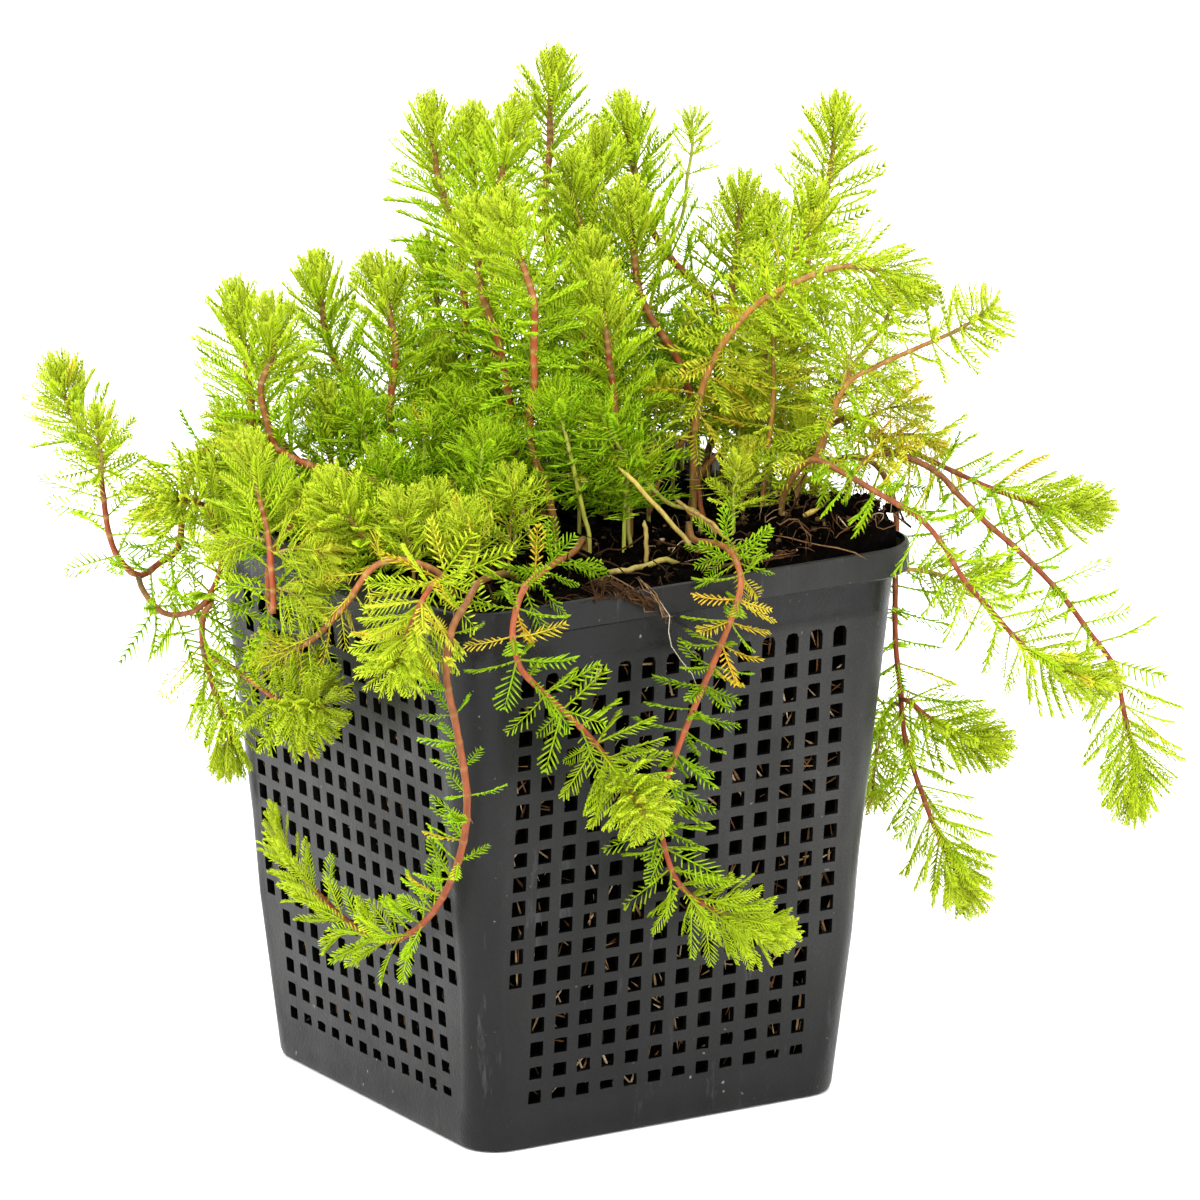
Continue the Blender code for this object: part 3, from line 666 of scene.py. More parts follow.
def crumbs(count, on_mound, least, spread, slot):
    """Crumbs strewn over the peat, a share of them round the mound."""
    ball = bmesh.new()
    bmesh.ops.create_icosphere(ball, subdivisions=1, radius=1.0)
    shape = np.array([v.co[:] for v in ball.verts])
    triangles = np.array([[v.index for v in f.verts] for f in ball.faces])
    ball.free()
    spot = rng.uniform(-SOIL_HALF, SOIL_HALF, (count, 2))
    near_mound = rng.uniform(size=count) < on_mound
    spot[near_mound] = SOIL_MOUND[:2] + rng.normal(0, 16, (near_mound.sum(), 2))
    spot = spot[(np.abs(spot).max(axis=1) < SOIL_HALF - 1.5)
                & (np.abs(spot).sum(axis=1) < 2 * SOIL_HALF - 8)]
    count = len(spot)
    size = rng.gamma(1.8, spread, count) + least
    points = shape[None] * rng.uniform(0.6, 1.4, (count, len(shape), 3)) * size[:, None, None]
    points[..., 2] *= 0.75
    height = soil_height(*spot.T) + 0.3 + rng.uniform(0, 0.9, count)
    points += np.column_stack([spot, height])[:, None]
    faces = triangles[None] + (np.arange(count) * len(shape))[:, None, None]
    data = np.zeros((count * len(shape), 4))
    data[:, 2] = np.repeat(rng.beta(1.6, 3.0, count), len(shape))
    return points.reshape(-1, 3), [faces.reshape(-1, 3)], data, slot


def straw():
    """A straw that lies in the peat behind the basket's holes."""
    side = rng.integers(4)
    z = rng.uniform(8, 108)
    u = rng.uniform(-1, 1) * (body_half(z) - 6)
    out = body_half(z) - WALL - rng.uniform(0.6, 1.2)
    lean = rng.normal(0, 0.75)
    heading = np.array(on_side(side, math.sin(lean), 0.0, math.cos(lean)))
    path = np.linspace(-0.5, 0.5, 4)[:, None] * heading * rng.uniform(4, 14)
    path += on_side(side, u, out, z)
    path[:, 2] = np.clip(path[:, 2], 4, 112)
    reach = np.abs(path[:, :2]).max(axis=1)
    limit = body_half(path[:, 2]) - WALL - 0.65
    path[:, :2] *= np.minimum(1.0, limit / reach)[:, None]
    return path, rng.uniform(0.13, 0.34), np.clip(rng.beta(2.6, 1.5), 0, 0.90)


def root_thread():
    """A root that wanders over the peat."""
    x, y = rng.uniform(-SOIL_HALF, SOIL_HALF, 2)
    points = [np.array((x, y, soil_height(x, y) + rng.uniform(-0.2, 0.9)))]
    angle = rng.uniform(0, TURN)
    heading = np.array((math.cos(angle), math.sin(angle), rng.normal(0, 0.25)))
    length = rng.uniform(4, 18)
    for _ in range(6):
        heading = heading + rng.normal(0, 0.42, 3)
        heading /= np.linalg.norm(heading)
        points.append(points[-1] + heading * length / 6)
    path = np.array(points)
    path[:, 2] = np.maximum(path[:, 2], soil_height(path[:, 0], path[:, 1]) - 0.3)
    path[:, :2] = np.clip(path[:, :2], -ROOT_LIMIT, ROOT_LIMIT)
    return path, rng.uniform(0.10, 0.26), np.clip(rng.beta(1.2, 4.5), 0, 0.8)


def root_loop():
    """A fine root that stands proud of the peat, more often than not on the mound."""
    x, y = rng.normal((38, -36), (14, 13)) if rng.uniform() < 0.6 else rng.uniform(-48, 48, 2)
    x, y = np.clip((x, y), -SOIL_HALF + 2, SOIL_HALF - 2)
    angle = rng.uniform(0, TURN)
    reach, rise = rng.uniform(2, 9), rng.uniform(0.8, 4.5)
    t = np.linspace(0, 1, 7)
    sway = rng.normal(0, 1.2) * np.sin(TURN * t)
    x = np.clip(x + math.cos(angle) * reach * t - math.sin(angle) * sway, -ROOT_LIMIT, ROOT_LIMIT)
    y = np.clip(y + math.sin(angle) * reach * t + math.cos(angle) * sway, -ROOT_LIMIT, ROOT_LIMIT)
    path = np.column_stack([x, y, soil_height(x, y) + rise * np.sin(math.pi * t)])
    radius = rng.uniform(0.06, 0.14)
    return path, radius, rng.uniform(0.72, 0.95) if rng.uniform() < 0.22 else rng.uniform(0.05, 0.5)


def rim_root(tone, radius, spread, route):
    """A root that hangs over the near rim, kept clear of the basket's face."""
    path = evenly(route, 7)[0] + rng.normal(0, spread, (7, 3)) * (1.0, 0.3, 1.0)
    clear = np.minimum(path[:, 1], -outer_face(path[:, 2]) - 0.35)
    path[:, 1] = np.where(path[:, 2] < BASKET_HEIGHT + 0.4, clear, path[:, 1])
    return path, radius * rng.uniform(0.7, 1.2), np.clip(tone + rng.normal(0, 0.12) * spread, 0, 1)


def stub(radius, tone, age, route):
    """A bare stem, as a part of its own."""
    path = evenly([in_frame(*place) for place in route], STUB_POINTS)[0]
    path += rng.normal(0, 0.12, (STUB_POINTS, 3))
    verts, faces, data = tubes([(path, radius, tone)], STUB_SIDES)
    data[:, 0] = np.linspace(age, age - 0.2, STUB_POINTS).repeat(STUB_SIDES)
    data[:, 3] = 0.5
    return verts, faces, data, 2


# Roots that hang over the near rim: tone, radius, scatter, how many, and route in x, y, z.
RIM_ROOTS = (
    (0.28, 0.14, 0.9, 20, ((-20, -47, 117), (-17, -54, 118), (-14, -56.2, 115), (-10, -56.0, 112.5))),
    (0.22, 0.18, 0.9, 9, ((-24, -46, 116), (-19, -53, 118), (-16, -56.2, 116.5))),
    (0.70, 0.09, 0.5, 4, ((-12, -52, 118), (-10, -56, 115), (-8, -56.0, 111), (-5, -53.5, 109))),
    (1.0, 0.12, 0.1, 1, ((-9, -56, 114), (-6.6, -55.6, 110.5), (-5.4, -52.9, 104), (-2, -52.6, 99.8),
        (0.5, -52.4, 96.9), (2.3, -52.2, 92.8))),
    (0.62, 0.20, 0.1, 1, ((24, -44, 120), (30, -50, 119), (36, -55.8, 117.5), (39, -56.4, 115.5))),
    (0.50, 0.18, 0.5, 4, ((4, -51, 117.5), (14, -52, 118.0), (26, -51.5, 117.8))),
)

# Bare, leafless stems near the front: radius, redness, age and route (across, height, near).
STUBS = (
    (0.50, 0.16, 0.82, ((28.2, 118.0, 30), (24.3, 122.5, 29), (18.0, 129.5, 28), (13.0, 134.5, 27))),
    (0.56, 0.5, 0.70, ((30.4, 114.0, -3), (28.8, 122, -5.5), (28, 130, -7.5), (27.8, 137, -8))),
    (0.52, 0.42, 0.85, ((19.0, 116.0, -3), (20.5, 122.5, -4), (24.1, 128.4, -6), (27.8, 133.1, -8))),
    (0.66, 0.42, 0.80, ((27.0, 115.0, -6), (28.4, 121.4, -8), (31.6, 126.1, -10), (36.5, 128.7, -12),
        (43.4, 129.5, -12))),
    (0.42, 0.25, 0.95, ((24.0, 125.0, 15), (26.4, 123.6, 18), (31.4, 122.4, 24), (35.3, 119.6, 30))),
    (0.50, 0.0, 0.85, ((15.8, 112.5, 12.7), (14.6, 119, 12.2), (14.4, 129.6, 10.7))),
    (0.46, 0.15, 0.95, ((18.6, 112.5, 25.5), (18.4, 118, 24.5), (18.2, 122.7, 23.5))),
    (0.50, 0.3, 0.90, ((36.3, 112.5, 15), (31, 119, 14), (26.2, 122.3, 13))),
    (0.75, 0.5, 0.90, ((1.1, 114.6, -6.3), (-5, 116.5, -7), (-11, 115, -8.3))),
    (0.95, 0.45, 0.90, ((29.5, 112.5, -21.6), (29, 121, -22), (27.5, 126.6, -23.6))),
    (0.60, 0.62, 0.90, ((29.5, 112.5, -13.9), (28.5, 122, -15), (27, 130.7, -15.9))),
    (0.58, 0.12, 0.90, ((-2.8, 112.5, 24), (-6, 123, 23), (-9.2, 132.6, 22))),
    (0.60, 0.08, 0.95, ((10, 114.8, 34.7), (14.2, 115.5, 35.5), (18.2, 115.3, 31.8), (21.6, 115.8, 28),
        (25.2, 114.6, 26.5))),
    (0.60, 0.5, 0.90, ((27, 115, 22), (32, 117.6, 24), (36.5, 118.5, 30), (37, 116.5, 34))),
    (0.60, 0.2, 0.90, ((46, 114, 10), (49, 119, 12), (51, 118, 15), (50, 122, 18), (53, 124, 19))),
    (0.55, 0.2, 0.90, ((58, 119, 8), (62, 121, 12), (60, 120, 16), (64, 122, 14))),
)


def build_soil():
    """Peat with crumbs, straw behind the holes, and roots and old stems on top."""
    parts = [peat(), crumbs(*PEAT_CRUMBS), crumbs(*BARK_CRUMBS)]
    parts.append((*tubes([straw() for _ in range(STRAWS)], THREAD_SIDES), 1))
    threads = [root_thread() for _ in range(ROOT_THREADS)]
    threads += [root_loop() for _ in range(ROOT_LOOPS)]
    for tone, radius, spread, count, route in RIM_ROOTS:
        threads += [rim_root(tone, radius, spread, route) for _ in range(count)]
    parts.append((*tubes(threads, THREAD_SIDES), 1))
    parts += [stub(*values) for values in STUBS]
    soil = joined_piece("peat_root_ball", parts,
                        [peat_material(), fibre_material(), stem_material()])
    dress(soil, "peat_soil", "soil")


# Every shoot: its look, the share of its foot that is bare, and its route.  A first place of
# two numbers, across and near, is rooted in the soil.  The routes are the solids' own, apart
# from a few points by which left_loop_shoot, left_curl_shoot, corner_drooping_shoot and the
# two front trailers follow the photograph more closely.
SHOOTS = {
    "left_arching_shoot": ("curved", 0.30, [(-48, -22), (-53, 123, -24), (-58, 130, -22), (-62, 132, -19),
        (-67, 130, -14), (-72, 126, -11), (-75, 118, -8), (-76, 109, -6), (-80, 106, -4), (-84, 104, -2),
        (-88, 108, -1), (-90, 114, 0), (-91, 123, 2), (-92, 131, 3), (-95, 136, 4), (-98, 142, 5),
        (-99, 149, 6)]),
    "left_side_sprig": ("sprig", 0.0, [(-91, 128, 7), (-91, 134, 11), (-92, 141, 13)]),
    "left_loop_shoot": ("burst", 0.10, [(-83, 102, 2), (-80, 99, 5), (-77, 98, 6), (-72, 100, 9),
        (-69, 104, 10), (-67, 110, 11), (-68, 116, 11), (-69, 121, 11), (-73, 124, 13), (-78, 125, 17)]),
    "left_hanging_shoot": ("curved", 0.10, [(-69, 101, 5), (-71, 96, 2), (-71, 89, 0), (-69, 81, 0),
        (-66, 74, 2), (-66, 66, 3)]),
    "left_tuft_shoot": ("rosette", 0.20, [(-70, 89, 4), (-64, 87, 8), (-60, 87, 18), (-54, 86, 28),
        (-46, 88, 38)]),
    "left_curl_shoot": ("curved", 0.35, [(-32, 28), (-38, 122, 26), (-45, 125, 24), (-51, 123, 24),
        (-56.5, 116, 25), (-57, 108, 29), (-56, 107, 35), (-56, 114, 39), (-57, 123, 36), (-59, 130, 29),
        (-61, 138, 25)]),
    "left_corner_shoot": ("lush", 0.10, [(-58, -14), (-59, 123, -15), (-61, 133, -16), (-62, 142, -16),
        (-63, 150, -17), (-64, 158, -18)]),
    "left_red_shoot": ("lush", 0.20, [(-29, 8), (-33, 123, 8), (-37, 127, 8), (-44, 128, 7), (-51, 130, 6),
        (-56, 133, 5), (-58, 139, 4), (-59, 145, 4), (-57, 150, 3), (-56, 155, 3), (-57, 160, 2)]),
    "left_upright_shoot_1": ("lush", 0.15, [(-34, -16), (-36, 126, -17), (-39, 137, -18), (-43, 142, -18),
        (-46, 149, -19), (-47, 155, -19), (-48, 163, -20)]),
    "left_upright_shoot_2": ("lush", 0.15, [(-30, -5), (-31, 125, -5), (-33, 132, -5), (-33, 140, -6),
        (-32, 150, -7), (-33, 156, -7), (-34, 162, -8), (-36, 166, -8)]),
    "left_upright_shoot_3": ("lush", 0.15, [(-22, -36), (-22, 127, -37), (-23, 142, -38), (-24, 152, -38),
        (-26, 162, -39)]),
    "left_short_shoot_1": ("fluffy", 0.10, [(-25, 12), (-26, 124, 12), (-26, 132, 12), (-26, 140, 12)]),
    "left_short_shoot_2": ("fluffy", 0.10, [(-18, 26), (-17, 124, 26), (-15, 132, 26), (-14, 140, 26)]),
    "left_short_shoot_3": ("short", 0.10, [(-44, -4), (-45, 125, -3), (-45, 133, -3), (-46, 141, -2)]),
    "left_short_shoot_4": ("short", 0.10, [(-34, 35), (-37, 122, 37), (-41, 128, 40), (-44, 135, 41)]),
    "left_short_shoot_5": ("short", 0.10, [(-22, -19), (-22, 127, -18), (-23, 138, -17), (-24, 147, -17)]),
    "yellow_drooping_shoot": ("wilted", 0.30, [(-22, 48), (-30, 122, 51), (-36, 120, 50), (-41, 112, 46),
        (-47, 103, 38), (-52, 98, 32), (-58, 95, 27)]),
    "corner_drooping_shoot": ("rosette", 0.30, [(-20, 57), (-22, 122, 65), (-25, 121, 72), (-28, 115, 74),
        (-30, 110, 75), (-32, 107, 79)]),
    "left_curled_trailer": ("combed", 0.20, [(-8, 50), (-14, 122, 66), (-17, 120, 75), (-20, 115, 78),
        (-21, 106, 79), (-19, 95, 79), (-17, 80, 78), (-19, 66, 74), (-25, 52, 65), (-33, 44, 54),
        (-41, 44, 42), (-49, 49, 32), (-54, 54, 24), (-56, 60, 20)]),
    "middle_shoot_1": ("lush", 0.20, [(-17, -24), (-17, 131, -25), (-18, 149, -25), (-19, 165, -26),
        (-22, 175, -27), (-24, 183, -27), (-25, 194, -28)]),
    "middle_shoot_2": ("lush", 0.20, [(-15, -44), (-14, 130, -44), (-14, 150, -45), (-16, 167, -46),
        (-17, 187, -48)]),
    "middle_shoot_3": ("lush", 0.20, [(-10, -15), (-10, 129, -14), (-12, 146, -14), (-12, 163, -14),
        (-12, 177, -15), (-10, 187, -15), (-8, 196, -16)]),
    "middle_shoot_4": ("lush", 0.15, [(-7, -2), (-8, 128, -1), (-9, 141, 0), (-11, 153, 1), (-13, 159, 1),
        (-15, 166, 2), (-15, 172, 2), (-16, 180, 3)]),
    "middle_red_shoot": ("lush", 0.20, [(0, 11), (-2, 128, 13), (-4, 133, 14), (-5, 141, 14), (-4, 147, 15),
        (-4, 157, 16), (-4, 166, 17), (-6, 173, 17), (-8, 179, 18), (-10, 186, 18)]),
    "tallest_shoot": ("lush", 0.25, [(0, -46), (0, 121, -46), (0, 137, -48), (-1, 154, -49), (-2, 170, -50),
        (-1, 181, -51), (-1, 190, -51), (0, 198, -52)]),
    "middle_shoot_5": ("lush", 0.15, [(5, -22), (7, 125, -22), (8, 139, -23), (7, 156, -24), (6, 168, -25),
        (4, 175, -26), (4, 183, -26)]),
    "middle_shoot_6": ("lush", 0.15, [(11, -36), (10, 127, -37), (9, 144, -38), (8, 158, -39),
        (8, 171, -39), (9, 185, -40)]),
    "middle_shoot_7": ("lush", 0.10, [(10, -13), (9, 126, -11), (7, 139, -10), (6, 152, -9), (7, 162, -9),
        (7, 171, -8)]),
    "middle_shoot_8": ("lush", 0.10, [(15, 4), (13, 128, 5), (12, 143, 6), (11, 152, 7), (10, 160, 7),
        (9, 168, 8)]),
    "middle_shoot_9": ("lush", 0.26, [(29, -20), (29, 121, -20), (28, 134, -20), (25, 144, -21),
        (20, 152, -21), (17, 159, -21), (16, 167, -22), (15, 178, -22)]),
    "middle_shoot_10": ("lush", 0.10, [(31, -40), (33, 125, -43), (33, 142, -46), (32, 150, -47),
        (29, 153, -47), (24, 158, -48), (20, 164, -48), (18, 169, -49), (16, 178, -49), (14, 189, -50)]),
    "pale_thin_shoot": ("thin", 0.10, [(19, -55), (19, 127, -55), (19, 143, -56), (22, 156, -57),
        (26, 165, -57), (27, 173, -57), (28, 179, -58), (28, 186, -58)]),
    "front_short_shoot_1": ("fluffy", 0.45, [(7, 17), (6, 122, 18), (4, 132, 20), (2, 141, 21),
        (0, 148, 22)]),
    "front_short_shoot_2": ("fluffy", 0.50, [(29, 8), (23, 123, 12), (17, 130, 15), (12, 138, 18),
        (9, 144, 20)]),
    "front_sprig": ("thin", 0.40, [(36, 15), (36, 125, 16), (37, 134, 18)]),
    "right_upright_shoot_1": ("airy", 0.20, [(43, -20), (46, 130, -25), (49, 147, -27), (51, 161, -28),
        (54, 173, -29), (56, 183, -29), (57, 194, -30)]),
    "right_upright_shoot_2": ("airy", 0.22, [(34, -31), (35, 128, -33), (36, 143, -34), (36, 155, -35),
        (37, 165, -35), (38, 176, -36)]),
    "right_upright_shoot_3": ("airy", 0.24, [(39, -28), (41, 132, -36), (42, 145, -42), (43, 157, -44),
        (43, 169, -46)]),
    "right_upright_shoot_4": ("airy", 0.26, [(40, -12), (41, 128, -11), (42, 143, -11), (44, 156, -10),
        (47, 167, -10), (51, 174, -10), (52, 181, -10)]),
    "right_arching_shoot": ("airy", 0.25, [(28, -3), (28, 128, -2), (29, 141, 1), (32, 150, 2),
        (36, 157, 4), (41, 163, 6), (47, 167, 8), (55, 171, 10), (61, 172, 12), (67, 171, 14),
        (73, 168, 16)]),
    "right_short_shoot_1": ("wispy", 0.15, [(52, 0), (55, 135, 0), (58, 143, -1), (60, 148, -1),
        (64, 153, -2), (67, 158, -2), (69, 165, -4)]),
    "right_short_shoot_2": ("wispy", 0.15, [(42, 1), (43, 131, 0), (44, 141, 0), (44, 150, 0),
        (44, 160, 0)]),
    "right_open_shoot": ("wispy", 0.15, [(49, 8), (53, 134, 12), (58, 148, 16), (65, 153, 17),
        (73, 157, 18), (81, 161, 19), (88, 166, 20)]),
    "right_trailer_1": ("trailer", 0.10, [(50, -8), (55, 132, -12), (62, 134, -13), (67, 130, -13),
        (73, 127, -12), (81, 123, -12), (88, 120, -11), (96, 117, -11), (102, 116, -10), (110, 116, -10)]),
    "right_trailer_2": ("trailer", 0.10, [(59, 10), (63, 130, 4), (69, 130, 0), (77, 126, -1), (81, 122, 0),
        (87, 116, 1), (94, 110, 2), (102, 102, 4), (108, 94, 5), (113, 87, 6), (115, 78, 8), (117, 69, 9),
        (117, 59, 10)]),
    "right_trailer_3": ("trailer", 0.10, [(46, 14), (51, 134, 20), (57, 133, 24), (65, 129, 27),
        (73, 124, 27), (78, 118, 27), (82, 111, 26), (88, 104, 26), (94, 97, 25), (101, 92, 24),
        (110, 89, 24)]),
    "right_hanging_shoot": ("trailer", 0.25, [(53, -3), (58, 127, -8), (65, 124, -14), (69, 115, -14),
        (69, 102, -9), (69, 90, -5), (70, 80, -3), (71, 70, -2), (74, 60, 0), (78, 50, 2), (84, 38, 4)]),
    "right_back_sprig": ("sprig", 0.10, [(73, 103, -10), (77, 102, -11), (83, 100, -12), (91, 101, -14)]),
    "right_side_shoot": ("trailer", 0.10, [(72, 78, 0), (76, 75, 2), (81, 73, 5), (89, 71, 8)]),
    "right_low_sprig": ("sprig", 0.10, [(69, 76, -6), (67, 72, -11), (66, 66, -15), (65, 58, -18),
        (65, 52, -19)]),
    "front_trailer_1": ("strand", 0.20, [(6, 22), (4, 119, 34), (1, 121, 48), (-3, 122, 62), (-6, 121, 70),
        (-8, 115, 76), (-7, 108, 75), (-5, 104, 73), (1, 97, 69), (7, 90, 66), (12, 83, 65),
        (18.5, 76, 75.5)]),
    "front_trailer_2": ("draped", 0.20, [(27, 14), (28, 119, 25), (33, 121, 36), (36, 120.5, 45),
        (37, 116, 52), (33, 104, 51), (28, 92, 52), (24, 82, 54), (21, 72, 55), (23, 60, 54), (27, 53, 52),
        (34, 48, 49), (40, 44.5, 47), (45.5, 43.5, 46)]),
    "back_trailer_1": ("trailer", 0.25, [(-15, -36), (-24, 122, -46), (-31, 118, -52), (-32, 104, -53),
        (-31, 90, -52), (-33, 78, -55), (-38, 70, -62)]),
    "back_trailer_2": ("trailer", 0.25, [(36, -20), (46, 123, -29), (53, 118, -32), (53, 104, -32),
        (51, 92, -31), (52, 80, -34), (56, 70, -41)]),
}

# How each kind of shoot grows.  leaf: mature leaf length.  pitch: mature gap between
# whorls.  crown and few: leaves in a whorl near the tip and near the foot.  open_from:
# distance below the tip past which leaves are open fishbones.  bud: stretch over which
# leaves are young, against the usual one.  flare: how steeply leaves rise toward the tip,
# against the usual one.  red: 0 olive, 0.5 red brown, 1 salmon.  sag: how far old leaves
# hang, or lift where it is negative.  wilt: share of yellowed leaves.  thick: of the stem.
# fresh: how fast leaves darken.  hair: 1 for thread-like leaflets.  gap: share of old leaves
# missing on the near side.  shade: how much darker the old leaves are.  comb: 1 where most leaves
# stand on the left of the stem.  What a look leaves out is 0.
KINDS = ("leaf", "pitch", "crown", "few", "open_from", "bud", "flare", "red", "sag", "wilt",
         "thick", "fresh", "hair", "gap", "shade", "comb")
LOOKS = {name: dict(zip_longest(KINDS, values, fillvalue=0)) for name, values in {
    "lush": (13.0, 3.7, 5.9, 4.7, 34, 1.0, 1.0, 0.5, 0.22, 0.0, 1.0, 0.9, 0, 0.40),
    "short": (12.0, 3.1, 5.8, 5.2, 20, 0.8, 0.9, 0.35, 0.2, 0.0, 0.85, 1.0, 0, 0.2),
    "airy": (12.0, 3.9, 5.6, 4.8, 14, 0.8, 0.95, 0.4, 0.3, 0.02, 0.85, 0.5, 0, 0.05),
    "fluffy": (11.0, 3.0, 5.4, 5.0, 2, 0.45, 0.62, 0.0, 0.3, 0.02, 0.65, 2.2, 1),
    "thin": (6.5, 8.0, 5.0, 2.4, 2, 0.45, 0.65, 0.0, 0.3, 0.0, 0.6, 0.3),
    "wispy": (9.5, 5.0, 7.0, 4.0, 3, 0.45, 0.30, 0.4, 0.4, 0.02, 0.7, 0.5),
    "curved": (12.0, 4.8, 6.0, 2.8, 24, 0.9, 0.9, 0.6, 0.25, 0.02, 0.85, 0.7, 0, 0.5),
    "trailer": (12.4, 5.4, 6.8, 3.4, 30, 0.9, 0.9, 0.95, 0.12, 0.02, 0.75, 0.55, 0, 0.1),
    "combed": (9.6, 5.4, 3.6, 3.7, 70, 1.5, 1.05, 1.0, -0.40, 0.01, 0.85, 0.4, 0, 0.0, 0.0, 1),
    "rosette": (13.2, 5.4, 8.0, 3.6, 22, 0.7, 0.45, 0.95, 0.12, 0.01, 0.8, 0.6),
    "haze": (9.5, 4.6, 4.4, 3.4, 2, 0.5, 0.75, 0.2, 0.3, 0.10, 0.45, 0.6, 1),
    "mist": (10.5, 3.4, 5.0, 4.4, 2, 0.5, 0.75, 0.25, 0.35, 0.04, 0.5, 0.3, 1),
    "sprig": (9.5, 3.6, 5.2, 4.2, 12, 0.7, 0.75, 0.3, 0.2, 0.02, 0.7, 0.7),
    "wilted": (8.5, 5.6, 4.4, 2.4, 2, 0.5, 0.7, 0.45, 0.3, 0.60, 0.9, 0.6, 1),
    "burst": (14.0, 5.0, 8.5, 4.4, 26, 0.42, 0.60, 0.95, 0.12, 0.01, 0.8, 0.6),
    "strand": (11.6, 5.4, 8.6, 3.4, 22, 0.7, 0.45, 0.95, 0.12, 0.02, 0.8, 0.9, 0, 0.05, 0.7),
    "draped": (11.4, 4.9, 7.2, 4.4, 30, 0.9, 0.85, 0.95, 0.12, 0.02, 0.75, 0.8, 0, 0.0, 0.5),
}.items()}

# Leaves at distances below the tip: their length as a share of the mature one, and the
# degrees by which they rise forward of square.  Whorls: the gaps between the first ones.
YOUNG_LENGTH = ((0.0, 3.0, 8.0, 16.0, 25.0), (0.36, 0.54, 0.74, 0.92, 1.0))
LEAF_RISE = ((0.0, 3.0, 8.0, 16.0, 26.0, 45.0, 80.0), (78.0, 60.0, 46.0, 39.0, 34.0, 22.0, 8.0))
WHORL_GAP = (0.0, 5.0, 14.0, 26.0, 40.0)
YOUNG_GAPS = (0.95, 1.3, 2.2)

# Low sprigs at the feet of some shoots: look, across, near, height above the soil, and lean
# across and near.
FOOT_SPRIGS = {
    "left_corner_shoot": [("sprig", -57, 1, 22, -7, 6), ("fluffy", -50, 13, 15, -8, 8),
        ("sprig", -60, -8, 24, -7, 3), ("fluffy", -53, 8, 12, -9, 9), ("sprig", -63, -11, 14, -9, 5)],
    "left_short_shoot_3": [("mist", -44, 20, 15, -7, 8), ("mist", -40, 12, 13, -5, 4)],
    "left_upright_shoot_1": [("fluffy", -38, -10, 30, -4, 0), ("fluffy", -42, -20, 26, -6, -2)],
    "left_upright_shoot_2": [("fluffy", -36, 2, 28, -3, 3)],
    "left_short_shoot_1": [("fluffy", -30, 20, 22, -4, 3), ("fluffy", -20, 6, 30, 0, 2)],
    "left_short_shoot_2": [("mist", -9, 30, 20, 1, 4), ("mist", -22, 34, 18, -2, 4)],
    "left_short_shoot_4": [("mist", -28, 40, 18, -3, 4), ("mist", -16, 42, 16, -2, 6),
        ("sprig", -40, 31, 18, -6, 7)],
    "left_short_shoot_5": [("fluffy", -27, -27, 34, -2, 0)],
    "middle_shoot_1": [("fluffy", -12, -30, 38, -1, 0)],
    "middle_shoot_3": [("fluffy", -5, -8, 34, 1, 1), ("fluffy", -15, -6, 30, -1, 2)],
    "middle_red_shoot": [("fluffy", -8, 16, 26, -3, 3), ("fluffy", 5, 2, 32, 1, 2)],
    "middle_shoot_4": [("fluffy", -14, 8, 28, -2, 2)],
    "middle_shoot_5": [("fluffy", 2, -30, 40, 0, 0), ("fluffy", 12, -22, 34, 2, 0)],
    "middle_shoot_8": [("fluffy", 19, -4, 30, 2, 1), ("fluffy", 14, 14, 20, 1, 2)],
    "middle_shoot_9": [("fluffy", 24, -28, 36, 2, 0)],
    "middle_shoot_10": [("fluffy", 28, -32, 34, 2, 0), ("fluffy", 26, -44, 26, 3, -2),
        ("fluffy", 22, -50, 28, 0, -2)],
    "right_upright_shoot_2": [("fluffy", 38, -24, 32, 3, 0), ("fluffy", 36, -27, 24, 3, 1)],
    "right_upright_shoot_4": [("fluffy", 36, -6, 26, 2, 2), ("mist", 46, -12, 24, 4, 0)],
    "right_short_shoot_2": [("mist", 47, -4, 22, 4, 2), ("mist", 38, 2, 18, 2, 3)],
}

# Thread-leaved side sprigs near the rims, as routes in the layout.
SIDE_SPRIGS = {
    "left_curl_shoot": [("mist", [(-56, 113, 38), (-52, 112, 40), (-48, 109, 42)]), ("mist", [(-57, 119,
        37), (-52, 121, 39), (-47, 121, 41), (-44, 119, 43)]), ("mist", [(-57, 122, 36), (-62, 122, 35),
        (-67, 119, 34)]), ("mist", [(-40, 122, 27), (-44, 120, 34), (-46, 116, 38)])],
    "left_arching_shoot": [("mist", [(-69, 128, -12), (-68, 123, -4), (-67, 117, 2)]), ("mist", [(-62, 131,
        -18), (-61, 126, -6), (-61, 120, 4)])],
    "right_short_shoot_1": [("haze", [(55, 136, 0), (51, 142, -3), (48, 149, -5), (47, 157, -6)]), ("haze",
        [(57, 141, 0), (63, 143, -6), (69, 143, -9)]), ("haze", [(59, 147, -1), (55, 153, -5),
        (53, 160, -7)])],
    "right_open_shoot": [("haze", [(57, 146, 16), (59, 153, 13), (61, 160, 11)])],
    "right_trailer_1": [("haze", [(62, 134, -13), (68, 137, -10), (73, 138, -8)]), ("haze", [(60, 133, -12),
        (57, 138, -8), (57, 144, -6)]), ("haze", [(60, 133, -11), (64, 132, -4), (69, 131, 2)]), ("haze",
        [(67, 130, -13), (72, 132, -8), (77, 131, -5)])],
}

